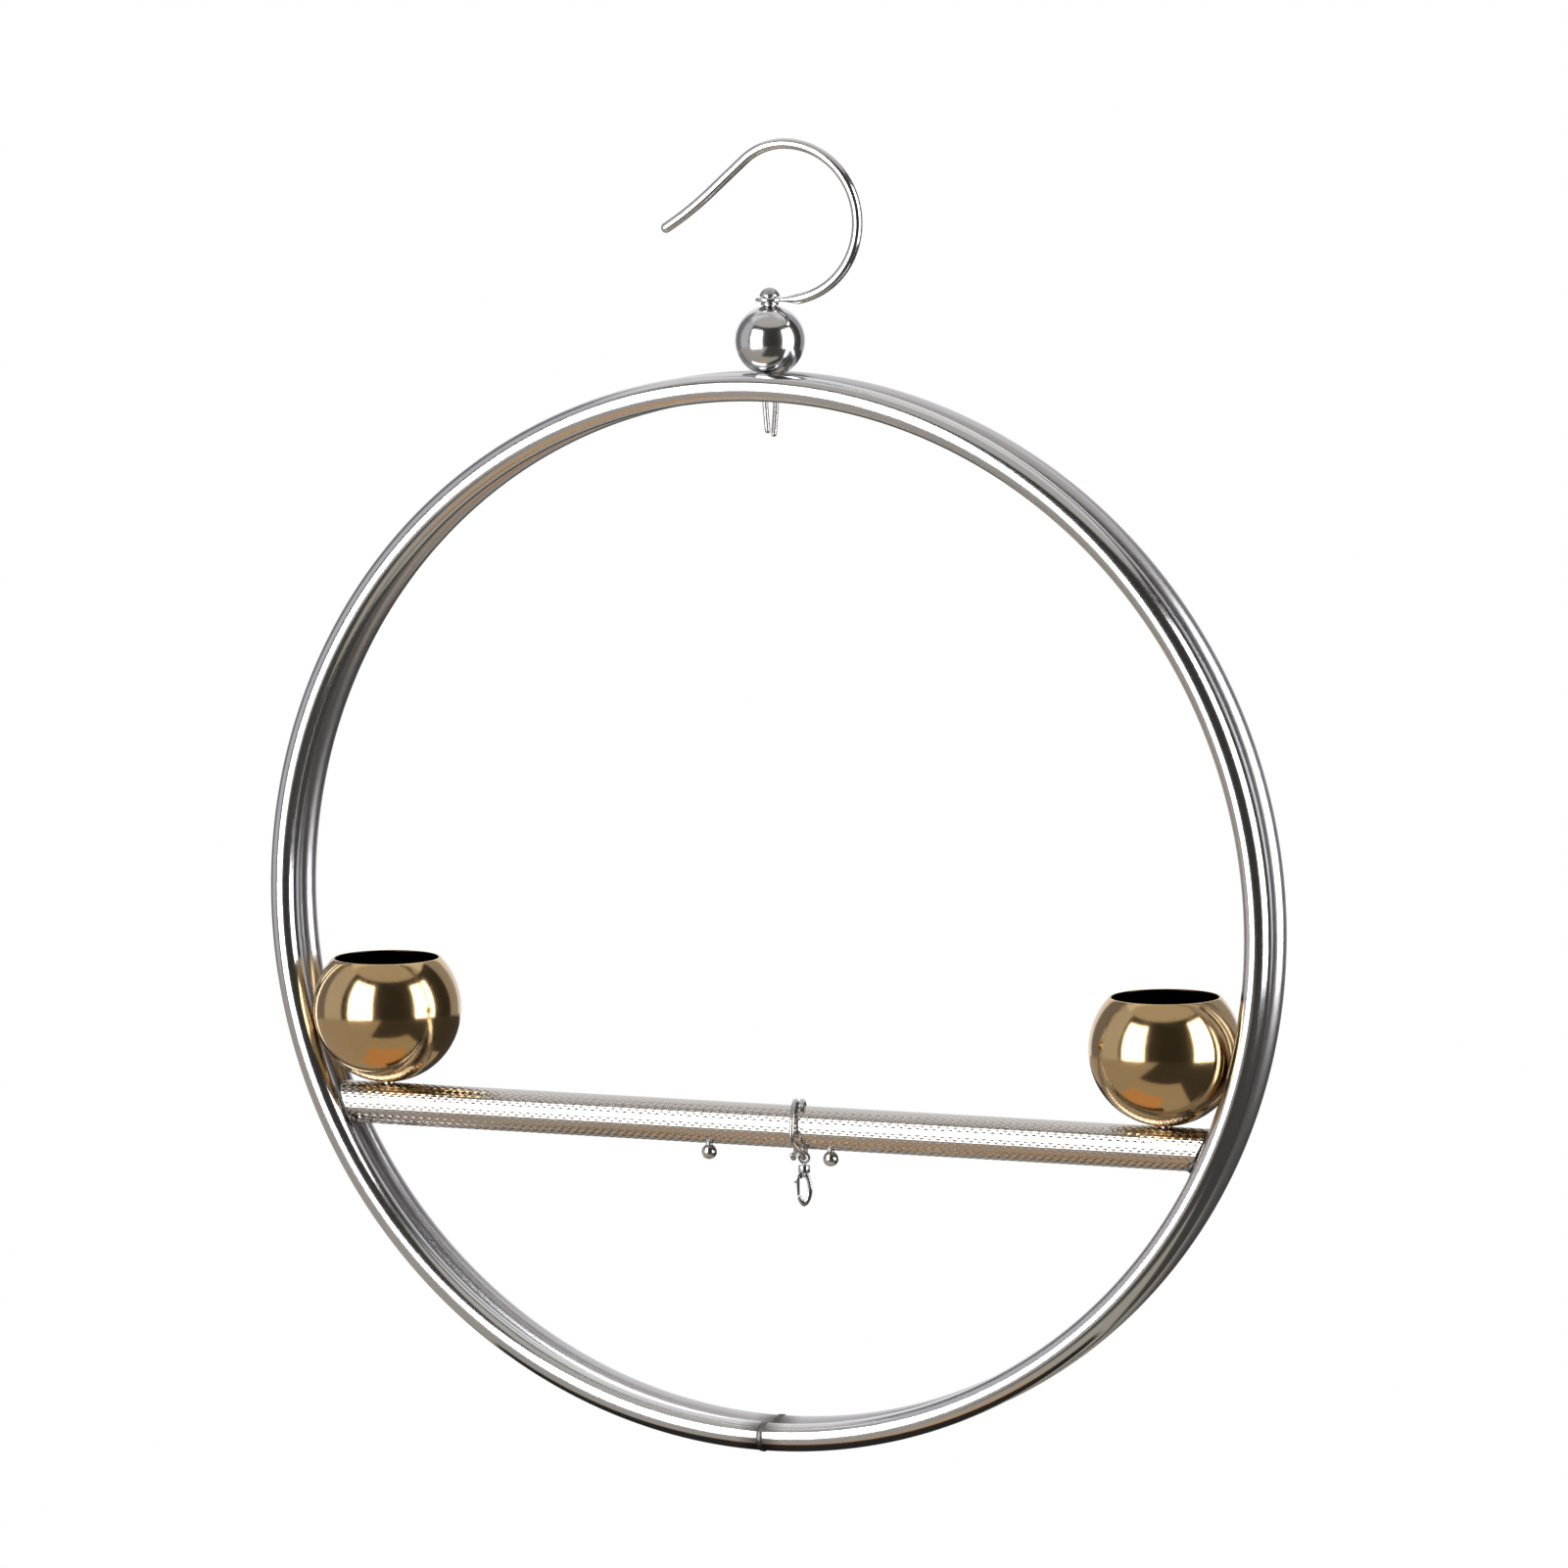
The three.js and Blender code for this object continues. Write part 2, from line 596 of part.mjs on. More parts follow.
function clipBody() {
  const barrel = turned([
    [0, barrelBottom],
    [barrelRadius, barrelBottom],
    [barrelRadius, barrelTop - FIT_GAP],
    [barrelRadius - FIT_GAP, barrelTop],
    [STEM_DIAMETER / 2 + FIT_GAP, barrelTop],
    [STEM_DIAMETER / 2 + FIT_GAP, chamberTop],
    [chamberRadius, chamberTop],
    [chamberRadius, chamberBottom],
    [0, chamberBottom],
  ], ROUND);

  const outline = new THREE.Shape().absellipse(0, clawZ, clawHalf, CLAW_HEIGHT / 2, 0, 2 * Math.PI);
  const hole = new THREE.Path();
  const holeTop = pivotZ - FIT_GAP;
  const holeBottom = clawZ - CLAW_HEIGHT / 2 + CLAW_TOE;
  const holeZ = (holeTop + holeBottom) / 2;
  hole.absellipse(0, holeZ, clawHalf - CLAW_SIDE, holeTop - holeZ, 0, 2 * Math.PI, true);
  outline.holes.push(hole);
  const claw = plate(outline, CLAW_THICKNESS);
  const lug = pivotBar(hubRadius, CLAW_THICKNESS / 2);

  const outside = clawHalf + FIT_GAP;
  const gap = block(-outside, 0, -CLAW_THICKNESS, CLAW_THICKNESS, gateBottom - FIT_GAP, pivotZ - hubRadius);
  const slot = block(-outside, pivotX + hubRadius + 2 * FIT_GAP + SPRING_THICKNESS, -slotHalf, slotHalf,
    gateBottom, pivotZ + hubRadius);
  return cut(join(barrel, claw, lug), gap, slot, pivotBar(pinHole, CLAW_THICKNESS));
}

// The gate closes the claw's gap, and its thumb tab stands out at the upper side
function clipTrigger() {
  const edge = -clawHalf;
  const inner = edge + TRIGGER_WIDTH;
  const tabTop = gateTop - TAB_HEIGHT / 2;
  const arm = plate(polygon([
    [pivotX, pivotZ],
    [edge + FIT_GAP, pivotZ - FIT_GAP],
    [edge, tabTop],
    [edge - TAB_REACH, tabTop - FIT_GAP],
    [edge - TAB_REACH, tabTop - TAB_HEIGHT],
    [edge, tabTop - TAB_HEIGHT - FIT_GAP],
    [edge + FIT_GAP, gateBottom],
    [inner, gateBottom],
    [inner, gateTop],
  ]), TRIGGER_THICKNESS);
  const hub = pivotBar(hubRadius - FIT_GAP, TRIGGER_THICKNESS / 2);
  return cut(join(arm, hub), pivotBar(pinHole, CLAW_THICKNESS));
}

function clipTriggerPin() {
  return pivotBar(TRIGGER_PIN / 2, CLAW_THICKNESS / 2);
}

// A short leaf beside the trigger's hub
function clipSpring() {
  const x = pivotX + hubRadius;
  const side = slotHalf - FIT_GAP;
  return block(x, x + SPRING_THICKNESS, -side, side, pivotZ - hubRadius / 2, pivotZ + hubRadius / 2);
}

// Assembly

const perch = new THREE.Group();
add(perch, 'hook', hookRod(), POLISHED_STEEL);
add(perch, 'split_pin', splitPin(), DRAWN_STEEL);
add(perch, 'swivel_bush', swivelBush(), DRAWN_STEEL);
const ball = add(perch, 'hanger_ball', globe(ballRadius, BALL_WALL, pinBore, pinBore), POLISHED_STEEL);
ball.position.z = ballZ;

const rings = group(perch, -BALL_SHIFT, 0, ringZ);
for (const [name, depth] of [['front', -1], ['rear', 1]]) {
  add(rings, `${name}_ring`, ringTube(), POLISHED_STEEL).position.y = depth * ringOffset;
  add(rings, `${name}_ring_weld`, ringBead(), WELD_STEEL).position.set(0, depth * ringOffset, -RING_RADIUS);
}

const perchBarGroup = group(rings, 0, 0, -BAR_DROP);
add(perchBarGroup, 'perch_bar', perchBar(), KNURLED_STEEL);
for (const [name, side] of [['left', -1], ['right', 1]]) {
  add(perchBarGroup, `${name}_bar_cap`, barCap(side), DRAWN_STEEL);
  add(perchBarGroup, `${name}_front_bar_weld`, barBead(side, -1), WELD_STEEL);
  add(perchBarGroup, `${name}_rear_bar_weld`, barBead(side, 1), WELD_STEEL);

  const seat = group(perchBarGroup, side * cupX, 0, 0);
  const mouth = Math.sqrt(cupRadius ** 2 - CUP_MOUTH_HEIGHT ** 2);
  add(seat, `${name}_cup`, globe(cupRadius, CUP_WALL, screwBore, mouth), GILT_STEEL).position.z = cupZ;
  add(seat, `${name}_cup_washer`, cupWasher(), DRAWN_STEEL);
  add(seat, `${name}_cup_screw`, cupScrew(), DRAWN_STEEL);
  add(seat, `${name}_cup_insert`, cupInsert(), DRAWN_STEEL);

  add(perchBarGroup, `${name}_stop_pin`, stopPin(), POLISHED_STEEL).position.x = side * STOP_X;
}

const loop = group(perchBarGroup, LOOP_X, 0, loopZ);
loop.rotation.z = rad(LOOP_SKEW);
const loopTurns = (LOOP_END - LOOP_START) / 360;
const loopWire = new LoopWire();
const loopSteps = Math.round(loopTurns * LOOP_STEPS_PER_TURN);
add(loop, 'leg_loop', swept(loopWire, LOOP_WIRE / 2, loopSteps, LOOP_SIDES), DRAWN_STEEL);
console.log(`leg_loop least gap to itself ${leastGap(loopWire, LOOP_WIRE, loopTurns).toFixed(2)} mm`);

const clip = group(loop, loopSpread / 2, 0, -loopRadius);
add(clip, 'clip_eye', clipEye(), DRAWN_STEEL);
add(clip, 'clip_body', clipBody(), POLISHED_STEEL);
add(clip, 'clip_trigger', clipTrigger(), POLISHED_STEEL);
add(clip, 'clip_trigger_pin', clipTriggerPin(), DRAWN_STEEL);
add(clip, 'clip_spring', clipSpring(), DRAWN_STEEL);

export default perch;
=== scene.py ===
# %% [markdown]
# A hanging ring perch: two polished tube rings carry a knurled bar with a gilt seed cup at each end. A
# hook swivels on top, and a wire loop with a small trigger clip slides along the bar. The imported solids
# give every size and place, and this lesson dresses them, piece by piece, as a metal worker made them.

# %% Load the solids
import json
import math

import bmesh
import bpy
from mathutils import Matrix, Quaternion, Vector, noise


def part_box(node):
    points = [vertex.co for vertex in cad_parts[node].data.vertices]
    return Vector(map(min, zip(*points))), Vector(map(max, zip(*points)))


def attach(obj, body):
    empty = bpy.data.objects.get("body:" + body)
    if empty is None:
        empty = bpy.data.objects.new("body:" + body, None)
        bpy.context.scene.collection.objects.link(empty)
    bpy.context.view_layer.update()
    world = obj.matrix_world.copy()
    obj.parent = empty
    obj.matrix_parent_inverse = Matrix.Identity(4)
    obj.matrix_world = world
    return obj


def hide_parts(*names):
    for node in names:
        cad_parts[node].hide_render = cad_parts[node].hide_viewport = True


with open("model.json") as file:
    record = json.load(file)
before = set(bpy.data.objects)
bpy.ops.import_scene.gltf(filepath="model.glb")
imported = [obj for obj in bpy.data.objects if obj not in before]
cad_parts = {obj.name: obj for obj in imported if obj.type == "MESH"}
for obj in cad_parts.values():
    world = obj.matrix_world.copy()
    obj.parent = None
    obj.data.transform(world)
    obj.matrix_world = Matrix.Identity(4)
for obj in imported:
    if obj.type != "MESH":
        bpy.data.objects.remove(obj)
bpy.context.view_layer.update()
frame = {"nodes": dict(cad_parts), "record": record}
scene = bpy.context.scene
scene.view_settings.view_transform = "Standard"

# %% [markdown]
# The pieces are small, so they are drawn in millimetres and made metres at the very end. The boxes of
# the solids give the ring's centre and radius, which most of the later places follow.

# %% Units and the ring's place
MM = 0.001


def box_mm(node):
    """A solid's lowest and highest corners, in millimetres."""
    low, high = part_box(node)
    return low / MM, high / MM


ring_low, ring_high = box_mm("front_ring")
TUBE = ring_high.y - ring_low.y
RING_OFFSET = -(ring_low.y + ring_high.y) / 2
RING_RADIUS = (ring_high.x - ring_low.x - TUBE) / 2
RING_CENTRE = Vector(((ring_low.x + ring_high.x) / 2, 0, (ring_low.z + ring_high.z) / 2))
print(f"ring radius {RING_RADIUS:.1f}, tube {TUBE:.1f}, centre {RING_CENTRE.x:.1f}, {RING_CENTRE.z:.1f} mm")

# %% [markdown]
# The camera stands where the picture was taken from: well back with a long lens, a little above the ring
# and to its right. Its turn is found from the pixel that the ring's centre falls on, so no lens shift is
# needed. A slight roll follows the tilt of the hand-held picture.

# %% Camera
PHOTO_PIXELS = 1601
FOCAL_PIXELS = 8624
RING_PIXEL = (782.58, 932.19)
CAMERA_AZIMUTH = math.radians(23.18)
CAMERA_ELEVATION = math.radians(7.65)
CAMERA_ROLL = math.radians(0.54)
CAMERA_RING_RADII = 16


def direction(azimuth, elevation):
    """The way to what stands so far round to the right from the front, and so far up."""
    level = math.cos(elevation)
    return Vector((math.sin(azimuth) * level, -math.cos(azimuth) * level, math.sin(elevation)))


toward_camera = direction(CAMERA_AZIMUTH, CAMERA_ELEVATION)
middle = PHOTO_PIXELS / 2
ring_sight = Vector((
    (RING_PIXEL[0] - middle) / FOCAL_PIXELS,
    (middle - RING_PIXEL[1]) / FOCAL_PIXELS,
    -1,
))
aim = toward_camera.to_track_quat("Z", "Y")
off_centre = Vector((0, 0, -1)).rotation_difference(ring_sight)
roll = Quaternion((0, 0, 1), CAMERA_ROLL)

lens = bpy.data.cameras.new("long_lens")
lens.sensor_width = 36
lens.lens = FOCAL_PIXELS / PHOTO_PIXELS * lens.sensor_width
camera = bpy.data.objects.new("camera", lens)
camera.location = (RING_CENTRE + toward_camera * CAMERA_RING_RADII * RING_RADIUS) * MM
camera.rotation_mode = "QUATERNION"
camera.rotation_quaternion = aim @ off_centre.inverted() @ roll.inverted()
scene.collection.objects.link(camera)
scene.camera = camera
print(f"camera {CAMERA_RING_RADII * RING_RADIUS * MM:.2f} m away, lens {lens.lens:.0f} mm")

# %% [markdown]
# Every finish is built from a few nodes. One function turns the sRGB colours that people read off a
# chart into the linear ones that a shader wants, and one adds a node with its settings and links. All
# these finishes are uneven in the same way: shade, gloss and relief follow soft clouds of noise, sized in
# millimetres. A third function lays that down, and a finish adds what is its own.

# %% Node helpers


def linear(hex_colour):
    """An sRGB hex colour as linear RGBA."""
    channels = [int(hex_colour[k:k + 2], 16) / 255 for k in (1, 3, 5)]
    return [c / 12.92 if c <= 0.04045 else ((c + 0.055) / 1.055) ** 2.4 for c in channels] + [1]


def add_node(tree, kind, settings, links):
    """Adds a node. Settings are properties or socket values, and links feed sockets."""
    added = tree.nodes.new(kind)
    for name, value in settings.items():
        if isinstance(name, int) or name in added.inputs:
            added.inputs[name].default_value = value
        else:
            setattr(added, name, value)
    for name, source in links.items():
        tree.links.new(source, added.inputs[name])
    return added


def uneven_surface(name, shades, clouds, gloss=None, relief=None, metallic=1):
    """Shade and relief follow the first clouds, given by size and detail, and gloss the last ones."""
    material = bpy.data.materials.new(name)
    material.use_nodes = True
    tree = material.node_tree
    shader = tree.nodes["Principled BSDF"]
    shader.inputs["Metallic"].default_value = metallic
    place = add_node(tree, "ShaderNodeTexCoord", {}, {}).outputs["Object"]

    # The scale of a noise is the number of its clouds in a metre
    heights = []
    for size, detail in clouds:
        cloud = add_node(tree, "ShaderNodeTexNoise", {"Scale": 1 / (size * MM), "Detail": detail},
                         {"Vector": place})
        heights.append(cloud.outputs["Fac"])
    low, high = [linear(shade) for shade in shades]
    colour = add_node(tree, "ShaderNodeMix", {"data_type": "RGBA", 6: low, 7: high}, {0: heights[0]})
    tree.links.new(colour.outputs[2], shader.inputs["Base Color"])
    if gloss:
        shine = add_node(tree, "ShaderNodeMapRange", {"To Min": gloss[0], "To Max": gloss[1]},
                         {"Value": heights[-1]})
        tree.links.new(shine.outputs["Result"], shader.inputs["Roughness"])
    if relief:
        bump = add_node(tree, "ShaderNodeBump", {"Strength": relief[0], "Distance": relief[1] * MM},
                        {"Height": heights[0]})
        tree.links.new(bump.outputs["Normal"], shader.inputs["Normal"])
    print("finish:", name)
    return material


# %% [markdown]
# The rings, the ball and the hook are stainless steel, buffed on a cloth wheel. The eye sees the room in
# it, blurred a little where the wheel left fine marks, with faint cloudy patches of handling. The rear
# ring is left satin. At the bottom of each ring the weld's heat left a grey-brown bloom, so the finish
# darkens towards the joint along the tube.

# %% Buffed stainless steel
# The wheel's marks are finer on the real steel, and are drawn as coarse as they need to be to show
BUFF_MARK = 2.5
HANDLING_PATCH = 35
BLOOM_START = 1
BLOOM_END = 9
BLOOM_DEPTH = 0.8
UPWARD_SHARE = 0.1


def polished_stainless(name, shades, gloss):
    """Buffed steel with the weld's bloom at the ring's foot."""
    clouds = ((HANDLING_PATCH, 4), (BUFF_MARK, 3))
    material = uneven_surface(name, shades, clouds, gloss, relief=(0.04, 0.05))
    tree = material.node_tree
    place = tree.nodes["Texture Coordinate"].outputs["Object"]
    clean = tree.nodes["Mix"].outputs[2]

    # Distances along the tube count in full, and those up the ring hardly at all
    from_foot = Vector((-RING_CENTRE.x, 0, (RING_RADIUS - RING_CENTRE.z) * UPWARD_SHARE)) * MM
    along = add_node(tree, "ShaderNodeMapping",
                     {"Scale": (1, UPWARD_SHARE, UPWARD_SHARE), "Location": from_foot}, {"Vector": place})
    reach = add_node(tree, "ShaderNodeVectorMath", {"operation": "LENGTH"}, {0: along.outputs["Vector"]})
    bloom = add_node(tree, "ShaderNodeMapRange",
                     {"From Min": BLOOM_START * MM, "From Max": BLOOM_END * MM,
                      "To Min": BLOOM_DEPTH, "To Max": 0}, {"Value": reach.outputs["Value"]})
    bloomed = add_node(tree, "ShaderNodeMix", {"data_type": "RGBA", 7: linear("#4A4644")},
                       {0: bloom.outputs["Result"], 6: clean})
    tree.links.new(bloomed.outputs[2], tree.nodes["Principled BSDF"].inputs["Base Color"])
    return material


BUFFED = polished_stainless("buffed_stainless_steel", ("#D2D2D4", "#C8C8C9"), (0.12, 0.2))
SATIN = polished_stainless("satin_stainless_steel", ("#C9C8CC", "#BEBDC0"), (0.26, 0.34))

# %% [markdown]
# Each finished mesh goes through one function: it merges doubles, turns the faces outwards, makes the
# millimetres metres, keeps true corners sharp and hangs the piece on the body that its solid rides on.

# %% Finishing a piece
BODY_OF = {node: body for body, nodes in frame["record"]["behaviour"]["bodies"].items() for node in nodes}
MERGE_DISTANCE = 1e-4


def mesh_object(name, bm, materials):
    """Makes an object of a mesh and its materials."""
    mesh = bpy.data.meshes.new(name)
    bm.to_mesh(mesh)
    bm.free()
    for material in materials:
        mesh.materials.append(material)
    made = bpy.data.objects.new(name, mesh)
    scene.collection.objects.link(made)
    return made


def finish_piece(name, bm, slot, node, *materials, corner=38):
    """Makes a piece from a mesh drawn in millimetres, in place of its solid."""
    bmesh.ops.remove_doubles(bm, verts=bm.verts, dist=MERGE_DISTANCE)
    bmesh.ops.recalc_face_normals(bm, faces=bm.faces)
    bmesh.ops.scale(bm, vec=(MM, MM, MM), verts=bm.verts)
    piece = mesh_object(name, bm, materials)
    piece.data.shade_smooth()
    piece.data.set_sharp_from_angle(angle=math.radians(corner))
    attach(piece, BODY_OF[node])
    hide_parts(node)
    print(f"{name}: {len(piece.data.polygons)} faces on {BODY_OF[node]}")


# %% [markdown]
# A ring is a straight tube, rolled round until its ends meet. A circle spun once about the ring's axis
# is the same motion, and it gives a seamless surface whose highlights run cleanly all the way round.

# %% Two rolled rings
TUBE_SIDES = 48
RING_STEPS = 420
SKIN = 0.02
ACROSS_X = Matrix.Rotation(math.pi / 2, 4, "Y")


def edges_of(verts):
    """The edges at these vertices."""
    return list(dict.fromkeys(edge for vert in verts for edge in vert.link_edges))


def spin_round(bm, verts, centre, axis, steps):
    """Spins a section once round an axis."""
    bmesh.ops.spin(bm, geom=verts + edges_of(verts), cent=centre, axis=axis, angle=2 * math.pi,
                   steps=steps, use_merge=True)


def rolled_ring(depth):
    """One ring, in front of the bar or behind it."""
    bm = bmesh.new()
    centre = RING_CENTRE + Vector((0, depth * RING_OFFSET, 0))
    foot = Matrix.Translation(centre + Vector((0, 0, -RING_RADIUS))) @ ACROSS_X
    section = bmesh.ops.create_circle(bm, segments=TUBE_SIDES, radius=TUBE / 2 - SKIN, matrix=foot)
    spin_round(bm, section["verts"], centre, (0, 1, 0), RING_STEPS)
    return bm


for side, depth, steel in (("front", -1, BUFFED), ("rear", 1, SATIN)):
    finish_piece(f"{side}_ring_tube", rolled_ring(depth), "polished_steel", f"{side}_ring", steel)

# %% [markdown]
# Where a ring's ends meet, a hand weld was ground back almost flush. Weld metal is dull and grey-brown
# from the heat, with grains of scale, so its shade, gloss and relief all follow one fine noise.

# %% Heat-darkened weld metal
WELD_GRAIN = 0.9
WELD = uneven_surface("heat_darkened_weld_metal", ("#3B3735", "#8C8782"), [(WELD_GRAIN, 5)],
                      gloss=(0.25, 0.6), relief=(0.5, 0.2))

# %% [markdown]
# A low, lumpy bead is left of each weld. A flat oval spun about the tube makes the band, and noise lifts
# and drops its crest, as the puddle froze.

# %% Ring beads
BEAD_HALF_WIDTH = 1.1
BEAD_RISE = 0.4
BEAD_LUMP = 0.22
LUMPS_PER_MM = 0.8
LUMP_SHIFT = 9
BEAD_SIDES = 12
BEAD_STEPS = 60


def move(bm, shift, verts):
    """Moves vertices."""
    bmesh.ops.translate(bm, vec=shift, verts=verts)


def turn_about(bm, axis, angle, verts):
    """Turns vertices about an axis through the origin."""
    bmesh.ops.rotate(bm, cent=(0, 0, 0), matrix=Matrix.Rotation(angle, 3, axis), verts=verts)


def ring_bead(depth):
    """The bead round a ring's butt joint."""
    bm = bmesh.new()
    section = bmesh.ops.create_circle(bm, segments=BEAD_SIDES, radius=1)["verts"]
    bmesh.ops.scale(bm, vec=(BEAD_HALF_WIDTH, BEAD_RISE, 1), verts=section)
    turn_about(bm, "X", math.pi / 2, section)
    move(bm, (0, 0, TUBE / 2), section)
    spin_round(bm, section, (0, 0, 0), (1, 0, 0), BEAD_STEPS)
    for vert in bm.verts:
        swell = BEAD_LUMP * noise.noise(vert.co * LUMPS_PER_MM + Vector((0, LUMP_SHIFT * depth, 0)))
        vert.co += Vector((swell, 0, 0)) + Vector((0, vert.co.y, vert.co.z)).normalized() * swell
    foot = RING_CENTRE + Vector((0, depth * RING_OFFSET, -RING_RADIUS))
    move(bm, foot, bm.verts)
    return bm


for side, depth in (("front", -1), ("rear", 1)):
    finish_piece(f"{side}_ring_bead", ring_bead(depth), "weld_steel", f"{side}_ring_weld", WELD)

# %% [markdown]
# The hook is one rod bent in a single plane. Each bend has one radius, as a bending jig gives, so a
# circle is spun from bend to bend and pushed along the straight lengths. The free end is rounded.

# %% Sweeping a rod through its bends


def wire_loop(geometry):
    """The edges among what an operator returned."""
    return [item for item in geometry if isinstance(item, bmesh.types.BMEdge)]


def sweep_rod(bm, radius, sides, start, heading, left, bends, step):
    """Carries a circle through bends, each a length and its turn to the left, and gives both ends."""
    place, ahead, left = Vector(start), Vector(heading), Vector(left)
    axis = ahead.cross(left)
    facing = Matrix((left, axis, ahead)).transposed().to_4x4()
    circle = bmesh.ops.create_circle(bm, segments=sides, radius=radius,
                                     matrix=Matrix.Translation(place) @ facing)["verts"]
    first = loop = edges_of(circle)
    for length, turn in bends:
        steps = max(1, round(length / step))
        centre = place + left * (length / turn) if turn else place
        push = Vector() if turn else ahead * (length / steps)
        swept = bmesh.ops.spin(bm, geom=loop, cent=centre, axis=axis, dvec=push, angle=turn, steps=steps)
        loop = wire_loop(swept["geom_last"])
        swing = Matrix.Rotation(turn, 3, axis)
        place = centre + swing @ (place - centre) if turn else place + ahead * length
        ahead = swing @ ahead
        left = swing @ left
    return first, loop, place, ahead


def extrude_loop(bm, loop):
    """Extrudes a loop of edges in place, and gives the new loop and its vertices."""
    made = bmesh.ops.extrude_edge_only(bm, edges=loop)["geom"]
    verts = {item for item in made if isinstance(item, bmesh.types.BMVert)}
    return [edge for edge in wire_loop(made) if set(edge.verts) <= verts], list(verts)


def round_end(bm, loop, centre, ahead, radius, rings=5):
    """Closes a round loop with a dome."""
    place = Vector(centre)
    for ring in range(1, rings):
        before = math.pi / 2 * (ring - 1) / rings
        after = math.pi / 2 * ring / rings
        loop, verts = extrude_loop(bm, loop)
        rise = ahead * radius * (math.sin(after) - math.sin(before))
        move(bm, rise, verts)
        place += rise
        shrink = math.cos(after) / math.cos(before)
        bmesh.ops.scale(bm, vec=(shrink, shrink, shrink), space=Matrix.Translation(-place), verts=verts)
    bmesh.ops.edgeloop_fill(bm, edges=loop)


# %% [markdown]
# Small round pieces come off a lathe. Their half section is drawn once and spun about the axis, with
# round stretches as arcs. Corners that a hand would feel are broken by a narrow bevel.

# %% Turning a piece


def arc(across, up, radius, start, end, count):
    """Points on an arc about (across, up), by angle in degrees up from the horizontal."""
    angles = [math.radians(start + (end - start) * k / count) for k in range(count + 1)]
    return [(across + radius * math.cos(angle), up + radius * math.sin(angle)) for angle in angles]


def turn_piece(bm, outline, steps=64):
    """Spins a half section of radius and height about Z, and gives the new vertices."""
    before = set(bm.verts)
    verts = [bm.verts.new((radius, 0, height)) for radius, height in outline]
    for pair in zip(verts, verts[1:]):
        bm.edges.new(pair)
    spin_round(bm, verts, (0, 0, 0), (0, 0, 1), steps)
    made = [vert for vert in bm.verts if vert not in before]
    bmesh.ops.remove_doubles(bm, verts=made, dist=MERGE_DISTANCE)
    return [vert for vert in bm.verts if vert not in before]


def break_corners(bm, width, sharper=35):
    """Bevels every edge that turns by more than an angle."""
    bmesh.ops.recalc_face_normals(bm, faces=bm.faces)
    limit = math.radians(sharper)
    corners = [e for e in bm.edges if len(e.link_faces) == 2 and e.calc_face_angle() > limit]
    bmesh.ops.bevel(bm, geom=corners, offset=width, affect="EDGES", segments=3, profile=0.5, material=-1)


# %% [markdown]
# The rod starts at the tail, runs along the bottom, up round the big bend, over the tighter crown and
# down a straight arm to a slightly lifted tip. The tail was hammered flat and pierced: the rod's first
# loop is drawn back towards the pin in steps that flatten and widen it, and ends in a turned eye.

# %% Hook
HOOK_ROD = 3.8
BEND_RADIUS = 27.5
CROWN_RADIUS = 23.5
CROWN_TURN = math.radians(41.4)
BEND_SHIFT = 6.2
ARM_LENGTH = 17.9
TIP_LENGTH = 21
TIP_TURN = math.radians(9.8)
TAIL_LENGTH = 10.4
TAIL_THICKNESS = 1.4
TAIL_SPREAD = 1.1
EYE_RADIUS = 5.2
EYE_BORE = 2.5
HAMMER_BLOWS = 6
HOOK_SIDES = 28
HOOK_STEP = 1.1

pin_low, pin_high = box_mm("split_pin")
PIN_HEAD_HEIGHT = 3.2
PLAY = 0.3
HEAD_Z = pin_high.z - PIN_HEAD_HEIGHT
TAIL_Z = HEAD_Z - PLAY - TAIL_THICKNESS / 2


def bent_hook():
    """The hook with its rounded tip and its flattened, pierced tail."""
    bm = bmesh.new()
    lift = math.asin((TAIL_LENGTH - BEND_SHIFT) / BEND_RADIUS)
    start = Vector((TAIL_LENGTH, 0, TAIL_Z + BEND_RADIUS * (1 - math.cos(lift))))
    heading = Vector((math.cos(lift), 0, math.sin(lift)))
    left = Vector((-math.sin(lift), 0, math.cos(lift)))
    bend_turn = math.pi - lift
    bends = [
        (BEND_RADIUS * bend_turn, bend_turn),
        (CROWN_RADIUS * CROWN_TURN, CROWN_TURN),
        (ARM_LENGTH, 0),
        (TIP_LENGTH, -TIP_TURN),
    ]
    radius = HOOK_ROD / 2 - SKIN
    tail, tip, end, ahead = sweep_rod(bm, radius, HOOK_SIDES, start, heading, left, bends, HOOK_STEP)
    round_end(bm, tip, end, ahead, radius)

    inside = (EYE_RADIUS + EYE_BORE) / 2
    pull = Vector((inside - start.x, 0, TAIL_Z - start.z)) / HAMMER_BLOWS
    flatten = (TAIL_THICKNESS / HOOK_ROD) ** (1 / HAMMER_BLOWS)
    widen = (TAIL_SPREAD * EYE_RADIUS / HOOK_ROD) ** (1 / HAMMER_BLOWS)
    place = start.copy()
    for _ in range(HAMMER_BLOWS):
        tail, verts = extrude_loop(bm, tail)
        move(bm, pull, verts)
        place += pull
        bmesh.ops.scale(bm, vec=(1, widen, flatten), space=Matrix.Translation(-place), verts=verts)
    bmesh.ops.edgeloop_fill(bm, edges=tail)

    half = TAIL_THICKNESS / 2
    eye = turn_piece(bm, [
        (EYE_BORE, -half),
        *arc(EYE_RADIUS - half, 0, half, -90, 90, 8),
        (EYE_BORE, half),
        (EYE_BORE, -half),
    ])
    move(bm, (0, 0, TAIL_Z), eye)
    return bm


finish_piece("bent_hook", bent_hook(), "polished_steel", "hook", BUFFED)

# %% [markdown]
# Wire, pins, screws and washers are plain drawn or turned steel, bright but not buffed. Their shine is
# softer, and the die or the lathe leaves it a little streaked and uneven.

